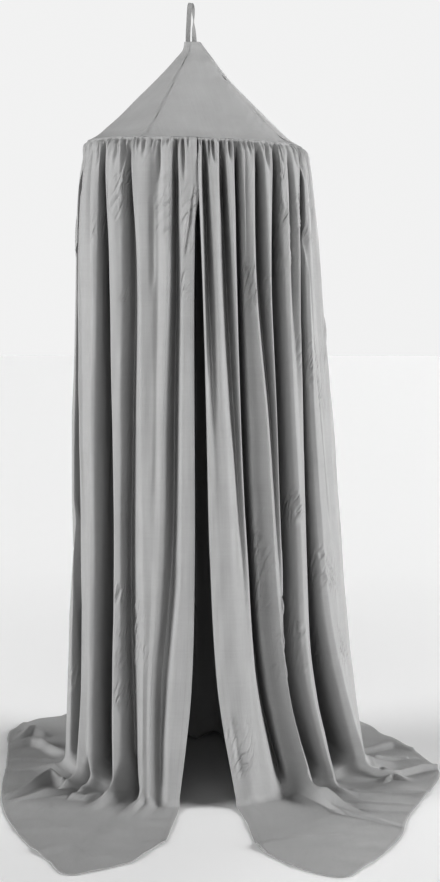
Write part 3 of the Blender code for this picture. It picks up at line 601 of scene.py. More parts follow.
class Finish:
    """A named material whose nodes are written as expressions."""

    def __init__(self, name):
        self.material = bpy.data.materials.new(name)
        self.material.use_nodes = True
        self.nodes = self.material.node_tree.nodes
        self.shader = self.nodes["Principled BSDF"]

    def node(self, kind, settings, *values, output=0, **named):
        """One node of this kind: its settings come first, then its sockets in order or by name."""
        made = self.nodes.new(kind)
        for key, value in settings.items():
            setattr(made, key, value)
        for place, value in (*enumerate(values), *named.items()):
            self.put(made.inputs[place], value)
        return Field(self, made.outputs[output])

    def put(self, socket, value):
        """Links a field to a socket, or sets the socket's own value."""
        if isinstance(value, Field):
            self.material.node_tree.links.new(value.socket, socket)
        else:
            socket.default_value = value

    def vector(self, x, y, z):
        """Three numbers or fields as one vector."""
        return self.node("ShaderNodeCombineXYZ", {}, x, y, z)

    def cloth_place(self):
        """Where a point lies on the flat cloth, across and down."""
        place = self.node("ShaderNodeUVMap", {"uv_map": "cloth"})
        return (self.node("ShaderNodeSeparateXYZ", {}, place, output=axis) for axis in (0, 1))

    def noise(self, place, scale, detail=2.0, roughness=0.5):
        """Smooth noise from 0 to 1 at a place."""
        return self.node(
            "ShaderNodeTexNoise", {}, Vector=place, Scale=scale, Detail=detail, Roughness=roughness)

    def spread(self, value, low, high, to_low, to_high):
        """The value moved from one range to another and held inside it."""
        return self.node("ShaderNodeMapRange", {"clamp": True}, value, low, high, to_low, to_high)

    def scaled(self, colour, amount):
        """A plain colour times a field."""
        return self.node("ShaderNodeVectorMath", {"operation": "SCALE"}, tuple(colour), Scale=amount)

    def principled(self, **values):
        """Fills the shader's own sockets."""
        for name, value in values.items():
            self.put(self.shader.inputs[name.replace("_", " ")], value)


def cloth_finish(name, settings, colour, lean=1):
    """Plain-woven cotton: threads over and under, slubs both ways, faint mottling and stitched edges.

    Lean is 1 where the small wrinkles run up to the right and -1 where they run up to the left.
    """
    finish = Finish(name)
    across, down = finish.cloth_place()
    turn = math.pi / settings.thread_pitch
    warp = (across * turn).math("SINE")
    weft = (down * turn).math("SINE")
    weave = warp * weft
    warp_slubs = finish.noise(finish.vector(across * SLUBS_OVER, down * SLUBS_ALONG, 0.0), 1.0, detail=3.0)
    weft_slubs = finish.noise(finish.vector(across * SLUBS_ALONG, down * SLUBS_OVER, 3.0), 1.0, detail=3.0)
    mottle = finish.noise(finish.vector(across, down, 7.0), MOTTLE_SCALE, detail=4.0, roughness=0.6)
    rumple_place = finish.vector(across * RUMPLE_SCALE[0], down * RUMPLE_SCALE[1], 11.0)
    rumple = finish.noise(rumple_place, 1.0, detail=4.0, roughness=0.55)
    rumpled = finish.node("ShaderNodeAttribute", {"attribute_name": "rumple"}, output=2)
    upright, slanted = WRINKLE_SLANT[0], WRINKLE_SLANT[1] * lean
    over_wrinkle = (across * upright - down * slanted) * WRINKLE_SCALE[0]
    along_wrinkle = (across * slanted + down * upright) * WRINKLE_SCALE[1]
    wrinkle = finish.noise(finish.vector(over_wrinkle, along_wrinkle, 5.0), 1.0, detail=1.0)
    wrinkle = ((wrinkle - 0.5) * WRINKLE_SHARPNESS).math("ABSOLUTE").math("MINIMUM", 1.0)
    wrinkle = (1 - wrinkle) * rumpled
    edge = finish.node("ShaderNodeAttribute", {"attribute_name": "edge"}, output=2)
    stitch_run = (edge - STITCH_INSET).math("ABSOLUTE").math("LESS_THAN", STITCH_HALF_WIDTH)
    stitch_dash = ((across + down) * (2 * math.pi / STITCH_PITCH)).math("SINE").math("GREATER_THAN", -0.35)
    stitches = stitch_run * stitch_dash
    shade = (
        SHADE.plain
        + (warp_slubs - 0.5) * SHADE.warp
        + (weft_slubs - 0.5) * SHADE.weft
        + mottle * SHADE.mottle
        + weave * SHADE.weave
        + (rumple - 0.5) * SHADE.rumple
        - stitches * SHADE.stitches
    )
    relief = (
        weave * settings.thread_relief
        + (warp_slubs + weft_slubs) * (0.6 * settings.thread_relief)
        + rumple * RUMPLE_RELIEF
        + wrinkle * WRINKLE_RELIEF
        + stitches * STITCH_RELIEF
    )
    bump = finish.node("ShaderNodeBump", {}, Strength=1.0, Distance=1.0, Height=relief)
    smoothest, roughest = (settings.roughness + change for change in ROUGHNESS_SPREAD)
    finish.principled(
        Base_Color=finish.scaled(colour, shade),
        Roughness=finish.spread(warp_slubs + weft_slubs, 0.6, 1.4, smoothest, roughest),
        Normal=bump,
        Sheen_Weight=settings.sheen,
        Sheen_Roughness=0.45,
        Specular_IOR_Level=0.35,
    )
    return finish.material


def tape_finish(name, settings, colour):
    """Narrow woven tape with a chevron twill."""
    finish = Finish(name)
    across, down = finish.cloth_place()
    chevron = ((across.math("ABSOLUTE") + down) * (2 * math.pi / TWILL_PITCH)).math("SINE")
    slubs = finish.noise(finish.vector(across * 900, down * 90, 0.0), 1.0, detail=2.0)
    shade = 0.90 + chevron * 0.07 + (slubs - 0.5) * 0.22
    relief = chevron * 0.00010 + slubs * 0.00012
    finish.principled(
        Base_Color=finish.scaled(colour, shade),
        Roughness=finish.spread(slubs, 0.3, 0.7, 0.70, 0.82),
        Normal=finish.node("ShaderNodeBump", {}, Strength=1.0, Distance=1.0, Height=relief),
        Sheen_Weight=settings.sheen,
    )
    return finish.material


def hoop_finish():
    """Pale extruded ring with faint drawing lines and scuffs."""
    finish = Finish("hoop_ring_finish")
    place = finish.node("ShaderNodeTexCoord", {}, output=3)
    lines = finish.noise(place, 240.0, detail=3.0)
    scuffs = finish.noise(place, 26.0, detail=5.0, roughness=0.65)
    finish.principled(
        Base_Color=finish.scaled((0.72, 0.71, 0.68), 0.90 + scuffs * 0.14),
        Roughness=finish.spread(scuffs, 0.3, 0.7, 0.34, 0.52),
        Normal=finish.node("ShaderNodeBump", {}, Strength=0.4, Distance=0.0003, Height=lines),
    )
    return finish.material


def floor_finish(colour):
    """Matt studio paper with painted light: the colour is painted brighter further out from the middle, so
    the far floor meets the pale backdrop.
    """
    finish = Finish("studio_floor_finish")
    place = finish.node("ShaderNodeTexCoord", {}, output=3)
    grain = finish.noise(place, 2.0, detail=3.0)
    away = finish.node("ShaderNodeVectorMath", {"operation": "LENGTH"}, place, output=1)
    finish.principled(
        # Painted light: the colour rises with distance from the middle, a painted brightening of the far
        # floor.
        Base_Color=finish.scaled(colour, finish.spread(away, 1.2, 4.0, 1.0, 1.14) + grain * 0.01),
        Roughness=0.9,
        Specular_IOR_Level=0.2,
    )
    return finish.material


# ---- Shape helpers ----------------------------------------------------------------------------------
def cosine_step(value):
    """Goes smoothly from 0 to 1 as the value goes from 0 to 1."""
    return 0.5 - 0.5 * np.cos(np.pi * np.clip(value, 0.0, 1.0))


def eased(low, high, leaving, arriving, width, t):
    """From low to high as t goes from 0 to 1, with the slopes given at both ends."""
    return (
        low * (1 + 2 * t) * (1 - t) ** 2
        + leaving * width * t * (1 - t) ** 2
        + high * t * t * (3 - 2 * t)
        + arriving * width * t * t * (t - 1)
    )


def smooth_curve(at, stations, values):
    """Reads a smooth curve through values at the places asked. Values may have one column per fold line."""
    order = np.argsort(stations)
    x = np.asarray(stations, float)[order]
    y = np.asarray(values, float)[order]
    slopes = np.gradient(y, x, axis=0)
    at = np.clip(at, x[0], x[-1])
    i = np.clip(np.searchsorted(x, at) - 1, 0, len(x) - 2)
    width = x[i + 1] - x[i]
    t = (at - x[i]) / width
    column = () if y.ndim == 1 else (np.arange(y.shape[1]),)
    low, high = (i, *column), (i + 1, *column)
    return eased(y[low], y[high], slopes[low], slopes[high], width, t)


Columns = namedtuple("Columns", "gap t lines")


def plan_columns(folds, listed, drawn_back):
    """Where each column of the sheet stands between the fold lines. Columns bunch up at the lines."""
    bearings = read(folds, "b130 b095 b060 b027").T
    depths = read(folds, "d145 d095 d045 d005").T / 1000 - drawn_back.T
    arcs = np.radians(np.diff(bearings, axis=0)) * CREASE_ARC_RADIUS
    widths = np.hypot(arcs, WALL_SHARE * np.diff(depths, axis=0)).mean(axis=1)
    gap, t = [], []
    for k, width in enumerate(widths):
        spacing = FRONT_COLUMN if k < listed - 1 else BACK_COLUMN
        steps = max(4, round(width / spacing))
        even = np.arange(steps) / steps
        gap.append(np.full(steps, k))
        t.append(even - COLUMN_BUNCHING * np.sin(2 * np.pi * even) / (2 * np.pi))
    gap.append(np.array([len(folds) - 2]))
    t.append(np.array([1.0]))
    gap = np.concatenate(gap)
    starts = np.searchsorted(gap, np.arange(len(folds) - 1))
    return Columns(gap, np.concatenate(t), np.append(starts, len(gap) - 1))


def between_lines(values, columns):
    """Columns between fold lines, on straight lines. Works on one row or on many."""
    low = values[..., columns.gap]
    return low + (values[..., columns.gap + 1] - low) * columns.t


def slit_share(share, drop):
    """Turns a share of a trough's depth into a flat crest, a round shoulder and a slit near the seam."""
    near = near_seam(drop)
    start = TROUGH_START + (SEAM_TROUGH_START - TROUGH_START) * near
    return cosine_step((share - start) / (1.0 - SEAM_TROUGH_FLAT * near - start))


def near_seam(drop):
    """1 at the seam, going down to 0 where the gathers have opened out into folds."""
    return np.exp(-(drop / SEAM_PINCH_FADE) ** 2)


def pinched(values, drop, columns):
    """Columns between fold lines, with most of the change close to the deeper line."""
    low, high = values[..., columns.gap], values[..., columns.gap + 1]
    peak = np.maximum(np.maximum(low, high), 1e-6)
    return peak * slit_share((low + (high - low) * columns.t) / peak, drop)


def narrowed(depth, line_depth, drop, columns):
    """Fold depths with the troughs drawn together to slits near the seam."""
    deepest = np.maximum(-np.minimum(line_depth[..., columns.gap], line_depth[..., columns.gap + 1]), 1e-4)
    slit = -deepest * slit_share(np.clip(-depth / deepest, 0.0, 1.0), drop)
    return np.where(depth < 0, depth + (slit - depth) * near_seam(drop), depth)


def across_folds(values, bearings, sharp, columns):
    """Columns between fold lines on rounded folds, with a crease where a line is sharp."""
    gaps = np.diff(bearings)
    gaps = np.copysign(np.maximum(np.abs(gaps), LEAST_BEARING_STEP), gaps)
    secants = np.diff(values) / gaps
    before = np.concatenate([secants[..., :1], secants], axis=-1)
    after = np.concatenate([secants, secants[..., -1:]], axis=-1)
    same_way = before * after > 0
    mean = 2 * before * after / np.where(same_way, before + after, 1.0)
    leaving = np.where(same_way, mean, after * sharp)[..., columns.gap]
    arriving = np.where(same_way, mean, before * sharp)[..., columns.gap + 1]
    low, high = values[..., columns.gap], values[..., columns.gap + 1]
    return eased(low, high, leaving, arriving, gaps[..., columns.gap], columns.t)


def envelope(bearing, height):
    """How far the fold crests stand from the axis."""
    turn = np.radians(bearing)
    heights, *sides = read(SKIRT_REACH, "height left front right back")
    left, front, right, back = (smooth_curve(height, heights, reach) for reach in sides)
    side = np.where(np.sin(turn) > 0, right, left)
    face = np.where(np.cos(turn) > 0, front, back)
    return side * np.sin(turn) ** 2 + face * np.cos(turn) ** 2


def seam_height(bearing):
    """Height of the hoop's seam, which hangs a little lower on the right."""
    return HOOP_HEIGHT - math.tan(HOOP_ROLL) * 0.5 * HOOP_DIAMETER * np.sin(np.radians(bearing))


def back_folds(last):
    """Plain folds from the side crest round to the back seam."""
    seam = math.copysign(BACK_BEARING, last.foot)
    side = (last.b160, last.b130, last.b095, last.b060, last.b027, last.foot, last.hem)
    rows = []
    for k in range(1, BACK_FOLDS_PER_PANEL + 1):
        at_seam = k == BACK_FOLDS_PER_PANEL
        is_trough = k % 2 == 1
        share = k / BACK_FOLDS_PER_PANEL
        sway = 0.0 if at_seam else BACK_SWAY * math.sin(BACK_SWAY_TURN * k)
        bearings = [start + (seam - start) * share + sway for start in side]
        change = BACK_DEPTH_CHANGE * math.cos(BACK_DEPTH_TURN * k)
        depth = -BACK_DEPTH * (1 + change) if is_trough else 0.0
        if at_seam:
            depth = -BACK_SEAM_DEPTH
        depths = (more * depth for more in BACK_DEEPENING)
        ridge = 0.0 if is_trough else BACK_RIDGE
        rows.append(Fold(f"B{k}", *bearings, *depths, ridge=ridge, run=BACK_RUN, sharp=BACK_SHARPNESS))
    return tuple(rows)


def soft_waves(across, down, seed, height, waves, count=14):
    """Low uneven waves over a sheet, the same each run."""
    random = np.random.default_rng(seed)
    total = np.zeros(np.broadcast(across, down).shape)
    for _ in range(count):
        turn = random.uniform(-waves.lean, waves.lean)
        length = random.uniform(waves.shortest, waves.longest)
        phase = random.uniform(0.0, 2 * np.pi)
        total += np.sin(2 * np.pi * (across * math.cos(turn) + down * math.sin(turn)) / length + phase)
    return total * height / math.sqrt(count)


def all_slits(sign):
    """A panel's slits: the listed ones, then deep ones round to the back and fine ones all the way."""
    random = np.random.default_rng(17 if sign > 0 else 23)
    slits = [slit for slit in FRONT_SLITS if sign * slit.bearing > 0]
    for rule in SLIT_RULES:
        bearing = rule.first
        while bearing < LAST_SLIT:
            drawn = [random.uniform(*span) for span in (rule.depth, rule.length, rule.lean)]
            slits.append(Slit(sign * bearing, *drawn))
            bearing += rule.step * random.uniform(*SLIT_STEP_CHANGE)
    return slits


def slit_relief(slits, bearing, drop):
    """How far the gathering slits draw the cloth in."""
    total = np.zeros_like(bearing)
    for slit in slits:
        half = SLIT_HALF_WIDTH + SLIT_SPREAD * drop
        away = np.radians(bearing - slit.bearing - slit.lean * drop) * SEAM_RADIUS / half
        fade = np.clip(1 - drop / (SLIT_RUN * slit.length), 0.0, 1.0) ** SLIT_FADE
        total = np.maximum(total, SLIT_DEPTH_SHARE * slit.depth * fade * np.exp(-away ** 2))
    return total


def crease_relief(creases, bearing, height):
    """Height of the creases on the hanging cloth, and how rumpled the cloth is around them.

    Each ridge or trough has a shallow one on either side.
    """
    x = np.radians(bearing) * CREASE_ARC_RADIUS
    total = np.zeros_like(bearing)
    rumple = np.zeros_like(bearing)
    for crease in creases:
        x0 = math.radians(crease.bearing0) * CREASE_ARC_RADIUS
        x1 = math.radians(crease.bearing1) * CREASE_ARC_RADIUS
        run_x, run_z = x1 - x0, crease.height1 - crease.height0
        length = math.hypot(run_x, run_z)
        share = ((x - x0) * run_x + (height - crease.height0) * run_z) / length ** 2
        away = ((height - crease.height0) * run_x - (x - x0) * run_z) / length
        away = away - crease.bow / 1000 * 4 * share * (1 - share)
        along = cosine_step(CREASE_TAPER * share) * cosine_step(CREASE_TAPER * (1 - share))
        if length < LONGEST_RUMPLE:
            rumple = np.maximum(rumple, along * np.exp(-(away / RUMPLE_REACH) ** 2))
        away = away / (crease.half / 1000)
        total += crease.relief / 1000 * along * (1 - CREASE_FLANK * away ** 2) * np.exp(-away ** 2)
    return total, rumple


def side_creases(sign):
    """Soft upright folds and short slanting creases from the side round to the back, at uneven places."""
    random = np.random.default_rng(41 if sign > 0 else 47)
    creases = []
    for _ in range(SIDE_FOLDS):
        bearing, height = random.uniform(*SIDE_FOLD_BEARING), random.uniform(*SIDE_FOLD_HEIGHT)
        length = random.uniform(*SIDE_FOLD_LENGTH)
        relief = random.choice(SIDE_FOLD_RELIEF) if bearing > CLEAR_OF_OUTLINE else SIDE_FOLD_RELIEF[0]
        creases.append(Crease(
            sign * bearing, height, sign * (bearing + random.uniform(*SIDE_FOLD_LEAN)),
            max(0.1, height - length), 0, relief, random.uniform(*SIDE_FOLD_HALF)))
    for _ in range(SIDE_CREASES):
        bearing = random.uniform(*SIDE_CREASE_BEARING)
        height = SIDE_CREASE_LOWEST + SIDE_CREASE_RISE * random.uniform() ** SIDE_CREASE_BUNCHING
        across, fall = random.uniform(*SIDE_CREASE_ACROSS), random.uniform(*SIDE_CREASE_FALL)
        creases.append(Crease(
            sign * bearing, height, sign * (bearing + random.choice((-1, 1)) * across), height - fall,
            random.uniform(*SIDE_CREASE_BOW), random.choice(SIDE_CREASE_RELIEF),
            random.uniform(*SIDE_CREASE_HALF)))
    return tuple(creases)


def foot_hollows(bearing, height):
    """How far the hollows at the foot of the folds draw the cloth in."""
    total = np.zeros_like(bearing)
    for hollow in FOOT_HOLLOWS:
        share = np.clip(1 - height / hollow.top, 0.0, 1.0)
        half = hollow.half * np.maximum(share, HOLLOW_LEAST_WIDTH)
        away = np.radians(bearing - hollow.bearing) * CREASE_ARC_RADIUS / half
        total += hollow.depth * cosine_step(HOLLOW_RISE * share) * np.exp(-away ** 2)
    return total


def floor_relief(x, y):
    """Height of the folds in the cloth on the floor."""
    total = np.zeros_like(x)
    for fold in FLOOR_FOLDS:
        for (x0, y0, height0), (x1, y1, height1) in zip(fold.points, fold.points[1:]):
            run_x, run_y = x1 - x0, y1 - y0
            length = math.hypot(run_x, run_y)
            share = np.clip(((x - x0) * run_x + (y - y0) * run_y) / length ** 2, 0.0, 1.0)
            gap_x, gap_y = x - x0 - share * run_x, y - y0 - share * run_y
            half = np.where(run_x * gap_y - run_y * gap_x > 0, fold.half_left, fold.half_right)
            crest = (1 - cosine_step(np.hypot(gap_x, gap_y) / half)) ** RIDGE_SHARPNESS
            total = np.maximum(total, (height0 + (height1 - height0) * share) * crest)
    return total


def soften(values, times):
    """Rounds creases a little by averaging each column with its neighbours."""
    for _ in range(times):
        values = values.copy()
        values[:, 1:-1] = 0.25 * values[:, :-2] + 0.5 * values[:, 1:-1] + 0.25 * values[:, 2:]
    return values


def sheet_normals(grid, outward):
    """Unit normals of a grid of points, on the side asked (1 or -1)."""
    down = np.gradient(grid, axis=0)
    across = np.gradient(grid, axis=1)
    normals = np.cross(across, down) * outward
    return normals / np.maximum(np.linalg.norm(normals, axis=2, keepdims=True), 1e-12)


def running_length(grid, axis):
    """Distance walked along the rows or columns of a grid."""
    steps = np.linalg.norm(np.diff(grid, axis=axis), axis=2)
    pad = [(0, 0), (0, 0)]
    pad[axis] = (1, 0)
    return np.pad(np.cumsum(steps, axis=axis), pad)


def placed(name, data):
    """A new object in the scene."""
    made = bpy.data.objects.new(name, data)
    bpy.context.scene.collection.objects.link(made)
    return made


def add_sheet(name, grid, cloth_place, edge, finish, flip, rumple=None):
    """A mesh of one sheet, with its place on the flat cloth as a UV map and its distance to a sewn edge."""
    rows, columns = grid.shape[:2]
    index = np.arange(rows * columns).reshape(rows, columns)
    corners = np.stack([index[:-1, :-1], index[1:, :-1], index[1:, 1:], index[:-1, 1:]], axis=-1)
    corners = corners.reshape(-1, 4)
    if flip:
        corners = corners[:, ::-1]
    points = grid.reshape(-1, 3) - np.array(HANG_POINT)
    mesh = bpy.data.meshes.new(name)
    mesh.from_pydata(points.tolist(), [], corners.tolist())
    flat = mesh.uv_layers.new(name="cloth")
    flat.data.foreach_set("uv", cloth_place.reshape(-1, 2)[corners.ravel()].astype(np.float32).ravel())
    for label, values in (("edge", edge), ("rumple", np.zeros_like(edge) if rumple is None else rumple)):
        attribute = mesh.attributes.new(label, "FLOAT", "POINT")
        attribute.data.foreach_set("value", values.astype(np.float32).ravel())
    mesh.shade_smooth()
    mesh.materials.append(finish)
    return placed(name, mesh)


# ---- Skirt ------------------------------------------------------------------------------------------
def wall_shares():
    """Rows from the seam to the top of the bend, as shares of the way."""
    drops = [0.0]
    zone_drops, spacings = read(ROW_ZONES, "drop spacing")
    while drops[-1] < HOOP_HEIGHT - WALL_FOOT:
        drops.append(drops[-1] + float(np.interp(drops[-1], zone_drops, spacings)))
    return np.array(drops)[:, None] / drops[-1]


def folded_wall(plan, folds, columns, drawn_back, height, drop, settings):
    """The hanging cloth in its folds: bearing before and after the troughs are drawn back, and distance."""
    line_height = height[:, columns.lines]
    line_bearing = smooth_curve(line_height, BEARING_HEIGHTS, read(folds, "b160 b130 b095 b060 b027 foot"))
    line_depth = smooth_curve(line_height, DEPTH_HEIGHTS, read(folds, "d145 d095 d045 d005") / 1000)
    hung_bearing = between_lines(line_bearing, columns)
    onset = cosine_step(FOLD_START_SHARE + (1 - FOLD_START_SHARE) * drop / FOLD_ONSET)
    depth = across_folds(line_depth, line_bearing, read(folds, "sharp")[0], columns)
    depth = soften(narrowed(depth, line_depth, drop, columns), SOFTENING) * onset
    reach = envelope(hung_bearing, HOOP_HEIGHT * height / (height + drop))
    below_lip = np.maximum(drop - settings.crown.lip, 0.0) / PUFF_DROP
    swell = settings.skirt.puff * below_lip * np.exp(1 - below_lip)
    distance = reach + depth + swell
    back = pinched(np.maximum(smooth_curve(line_height, DEPTH_HEIGHTS, drawn_back), 0.0), drop, columns)
    back = soften(back, SOFTENING) * cosine_step(drop / DRAWN_BACK_ONSET)
    back = back * cosine_step((height - DRAWN_BACK_FOOT[0]) / DRAWN_BACK_FOOT[1])
    turn = np.radians(hung_bearing)
    x, y = distance * np.sin(turn), back - distance * np.cos(turn)
    bearing = np.where(np.abs(hung_bearing) < 90, np.degrees(np.arctan2(x, -y)), hung_bearing)
    if plan.sign < 0:
        away = np.abs(bearing - bearing[:, :1]) / EDGE_NUDGE.fade
        rise = (height - EDGE_NUDGE.height) / EDGE_NUDGE.spread
        bearing = bearing + EDGE_NUDGE.turn * np.exp(-rise ** 2 - away)
    return hung_bearing, bearing, np.hypot(x, y)


def creased_wall(plan, hung_bearing, bearing, distance, height, drop, settings):
    """Distance of the hanging cloth with creases, waves, slits and foot hollows, and how rumpled it is."""
    relief, rumple = crease_relief(plan.creases + side_creases(plan.sign), bearing, height)
    rumple = np.maximum(rumple, SEAM_RUMPLE * np.exp(-drop / SEAM_RUMPLE_FADE))
    arc = np.radians(bearing) * CREASE_ARC_RADIUS
    waves = soft_waves(arc, height, plan.seed, settings.cloth.unevenness, WALL_WAVES)
    distance = distance + relief * settings.skirt.crease_strength
    distance = distance + waves * cosine_step(drop / WALL_WAVE_START)
    distance = distance - slit_relief(all_slits(plan.sign), bearing, drop)
    distance = distance - foot_hollows(hung_bearing, height)
    below_hoop = np.maximum(drop - HOOP_COVER, 0.0)
    return np.maximum(distance, OVER_HOOP_RADIUS - HOOP_COVER_SLOPE * below_hoop), rumple


def skirt_grid(plan, settings):
    """Points of one panel's outer face, rows from the seam to the hem and columns from the front edge."""
    folds = plan.folds + back_folds(plan.folds[-1])
    drawn_back = np.array([plan.drawn_back.get(f.name, (0, 0, 0, 0)) for f in folds]).T / 1000
    columns = plan_columns(folds, len(plan.folds), drawn_back)
    top_at, foot_at, hem_at, ridge_at, run_at, sharp = read(folds, "b160 foot hem ridge run sharp")
    hem_bearing = between_lines(hem_at, columns)
    hem_distance = smooth_curve(hem_bearing, *read(plan.hem, "bearing distance"))
    ridge = np.maximum(across_folds(ridge_at, foot_at, 0.5 * sharp, columns), 0.0)
    run = between_lines(run_at, columns)
    bend = BEND_RADIUS + BEND_PER_RIDGE * ridge

    seam = seam_height(between_lines(top_at, columns)) - SEAM_DROP
    height = seam + (FLOOR_LIFT + ridge + bend - seam) * wall_shares()
    drop = seam - height
    hung_bearing, bearing, distance = folded_wall(plan, folds, columns, drawn_back, height, drop, settings)
    distance, rumple = creased_wall(plan, hung_bearing, bearing, distance, height, drop, settings)

    low_bearing, low_distance = bearing[-1], distance[-1]
    angle = np.radians(np.arange(BEND_STEP, 90.0 + BEND_STEP / 2, BEND_STEP))[:, None]
    bend_distance = low_distance + bend * (1 - np.cos(angle))
    bend_height = FLOOR_LIFT + ridge + bend * (1 - np.sin(angle))
    share = (np.arange(1, FLOOR_ROW_COUNT + 1) / FLOOR_ROW_COUNT)[:, None]
    flat_start = low_distance + bend
    flat_distance = flat_start + (hem_distance - flat_start) * share
    flat_height = FLOOR_LIFT + ridge * np.clip(1 - share / run, 0.0, 1.0) ** RIDGE_FADE
    out_distance = np.concatenate([bend_distance, flat_distance])
    out_share = (out_distance - low_distance) / (hem_distance - low_distance)
    out_bearing = low_bearing + (hem_bearing - low_bearing) * cosine_step(out_share)

    turn = np.radians(np.concatenate([bearing, out_bearing]))
    distance = np.concatenate([distance, out_distance])
    height = np.concatenate([height, bend_height, flat_height])
    grid = np.stack([distance * np.sin(turn), -distance * np.cos(turn), height], axis=-1)
    floor_rows = grid[-FLOOR_ROW_COUNT:]
    x, y = floor_rows[..., 0], floor_rows[..., 1]
    lie = soft_waves(x, y, plan.seed + 1, FLOOR_WAVE_HEIGHT, FLOOR_WAVES)
    lie = np.maximum(lie, -FLOOR_WAVE_DIP) * cosine_step(FLOOR_WAVE_RISE * share)
    floor_rows[..., 2] += floor_relief(x, y) * cosine_step(FLOOR_FOLD_RISE * share) + lie
    floor_rows[..., 2] = np.maximum(floor_rows[..., 2], FLOOR_LIFT)
    return grid, np.pad(rumple, ((0, len(grid) - len(rumple)), (0, 0)))


def turn_under(grid, outward, hem_width):
    """Turns the front edge and the bottom hem back under the cloth."""
    normals = sheet_normals(grid, outward)
    along = np.linalg.norm(grid[:, 1:HEM_SEARCH_COLUMNS] - grid[:, :1], axis=2).mean(axis=0)
    inner = 1 + int(np.argmin(np.abs(along - hem_width)))
    middle = max(1, inner // 2)
    edge_way = grid[:, 0] - grid[:, 1]
    edge_way /= np.linalg.norm(edge_way, axis=1, keepdims=True)
    roll = grid[:, 0] + edge_way * TURN_ROLL * TURN_GAP - normals[:, 0] * 0.5 * TURN_GAP
    turned = [grid[:, k] - normals[:, k] * TURN_GAP for k in (inner, middle, 0)]
    grid = np.concatenate([np.stack([*turned, roll], axis=1), grid], axis=1)
    drop = np.array((0.0, 0.0, TURN_GAP))
    hem_way = grid[-1] - grid[-2]
    hem_way /= np.linalg.norm(hem_way, axis=1, keepdims=True)
    rows = [grid[-1] + hem_way * TURN_ROLL * TURN_GAP - 0.5 * drop, grid[-1] - drop, grid[-2] - drop]
    grid = np.concatenate([grid, np.stack(rows)])
    grid[..., 2] = np.maximum(grid[..., 2], LEAST_LIFT)
    return grid


# What the two panels are made from. Sign is -1 on the left and 1 on the right.
PanelPlan = namedtuple("PanelPlan", "name node sign seed folds hem drawn_back creases")
PANELS = (
    PanelPlan("panel_left", "skirt_left", -1, 5, LEFT_FOLDS, LEFT_HEM, LEFT_DRAWN_BACK, LEFT_CREASES),
    PanelPlan("panel_right", "skirt_right", 1, 11, RIGHT_FOLDS, RIGHT_HEM, RIGHT_DRAWN_BACK, RIGHT_CREASES),
)


def make_skirt(plan, settings):
    """One gathered skirt panel."""
    body, rumple = skirt_grid(plan, settings)
    grid = turn_under(body, -plan.sign, settings.skirt.hem_width)
    across = running_length(grid, 1)
    down = running_length(grid, 0)
    middle = int(np.argmin(np.abs(grid[:, TURNED_COLUMNS, 2] - STRAIGHT_HEIGHT)))
    lying = cosine_step(1 - grid[..., 2] / LYING_HEIGHT)
    own_across = across - across[:, TURNED_COLUMNS, None] + across[middle][TURNED_COLUMNS]
    from_axis = np.hypot(grid[..., 0], grid[..., 1])
    fall = HOOP_HEIGHT - grid[..., 2] + lying * (from_axis - LYING_RADIUS)
    flat = np.stack([across[middle] * (1 - lying) + own_across * lying, fall], axis=-1)
    front = np.abs(across[middle] - across[middle][TURNED_COLUMNS])
    edge = np.minimum(np.broadcast_to(front, down.shape), down[-1 - TURNED_ROWS] - down)
    rumple = np.pad(rumple, ((0, TURNED_ROWS), (TURNED_COLUMNS, 0)))
    finish = cloth_finish(f"{plan.name}_cloth", settings.cloth, settings.cloth.colour, -plan.sign)
    return add_sheet(plan.name, grid, flat, np.abs(edge), finish, flip=plan.sign > 0, rumple=rumple)


# ---- Crown ------------------------------------------------------------------------------------------
GORE_ROWS = 110
GORE_COLUMNS = 90
GORE_SEAM_MARGIN = 0.00025
GORE_BUNCHING = 0.6
GROOVE_HALF_WIDTH = 0.0030
SHOULDER_HEIGHT = 0.0006
SHOULDER_PLACE = 0.0075
PUCKER_WAVES = Waves(0.010, 0.030, 0.5)
PUCKER_START = 0.006
PUCKER_FADE = 0.022
SIDE_PUCKER_FADE = 0.010
CROWN_WAVES = Waves(0.03, 0.16, 0.9)
CROWN_WAVE_HEIGHT = 0.0007
CROWN_WAVE_START = 0.08
LIP_OUT = 0.0004
LIP_IN = 0.0010
# Brings the line of stitches to 4.5 mm from a crown seam.
GORE_EDGE_START = 0.0070


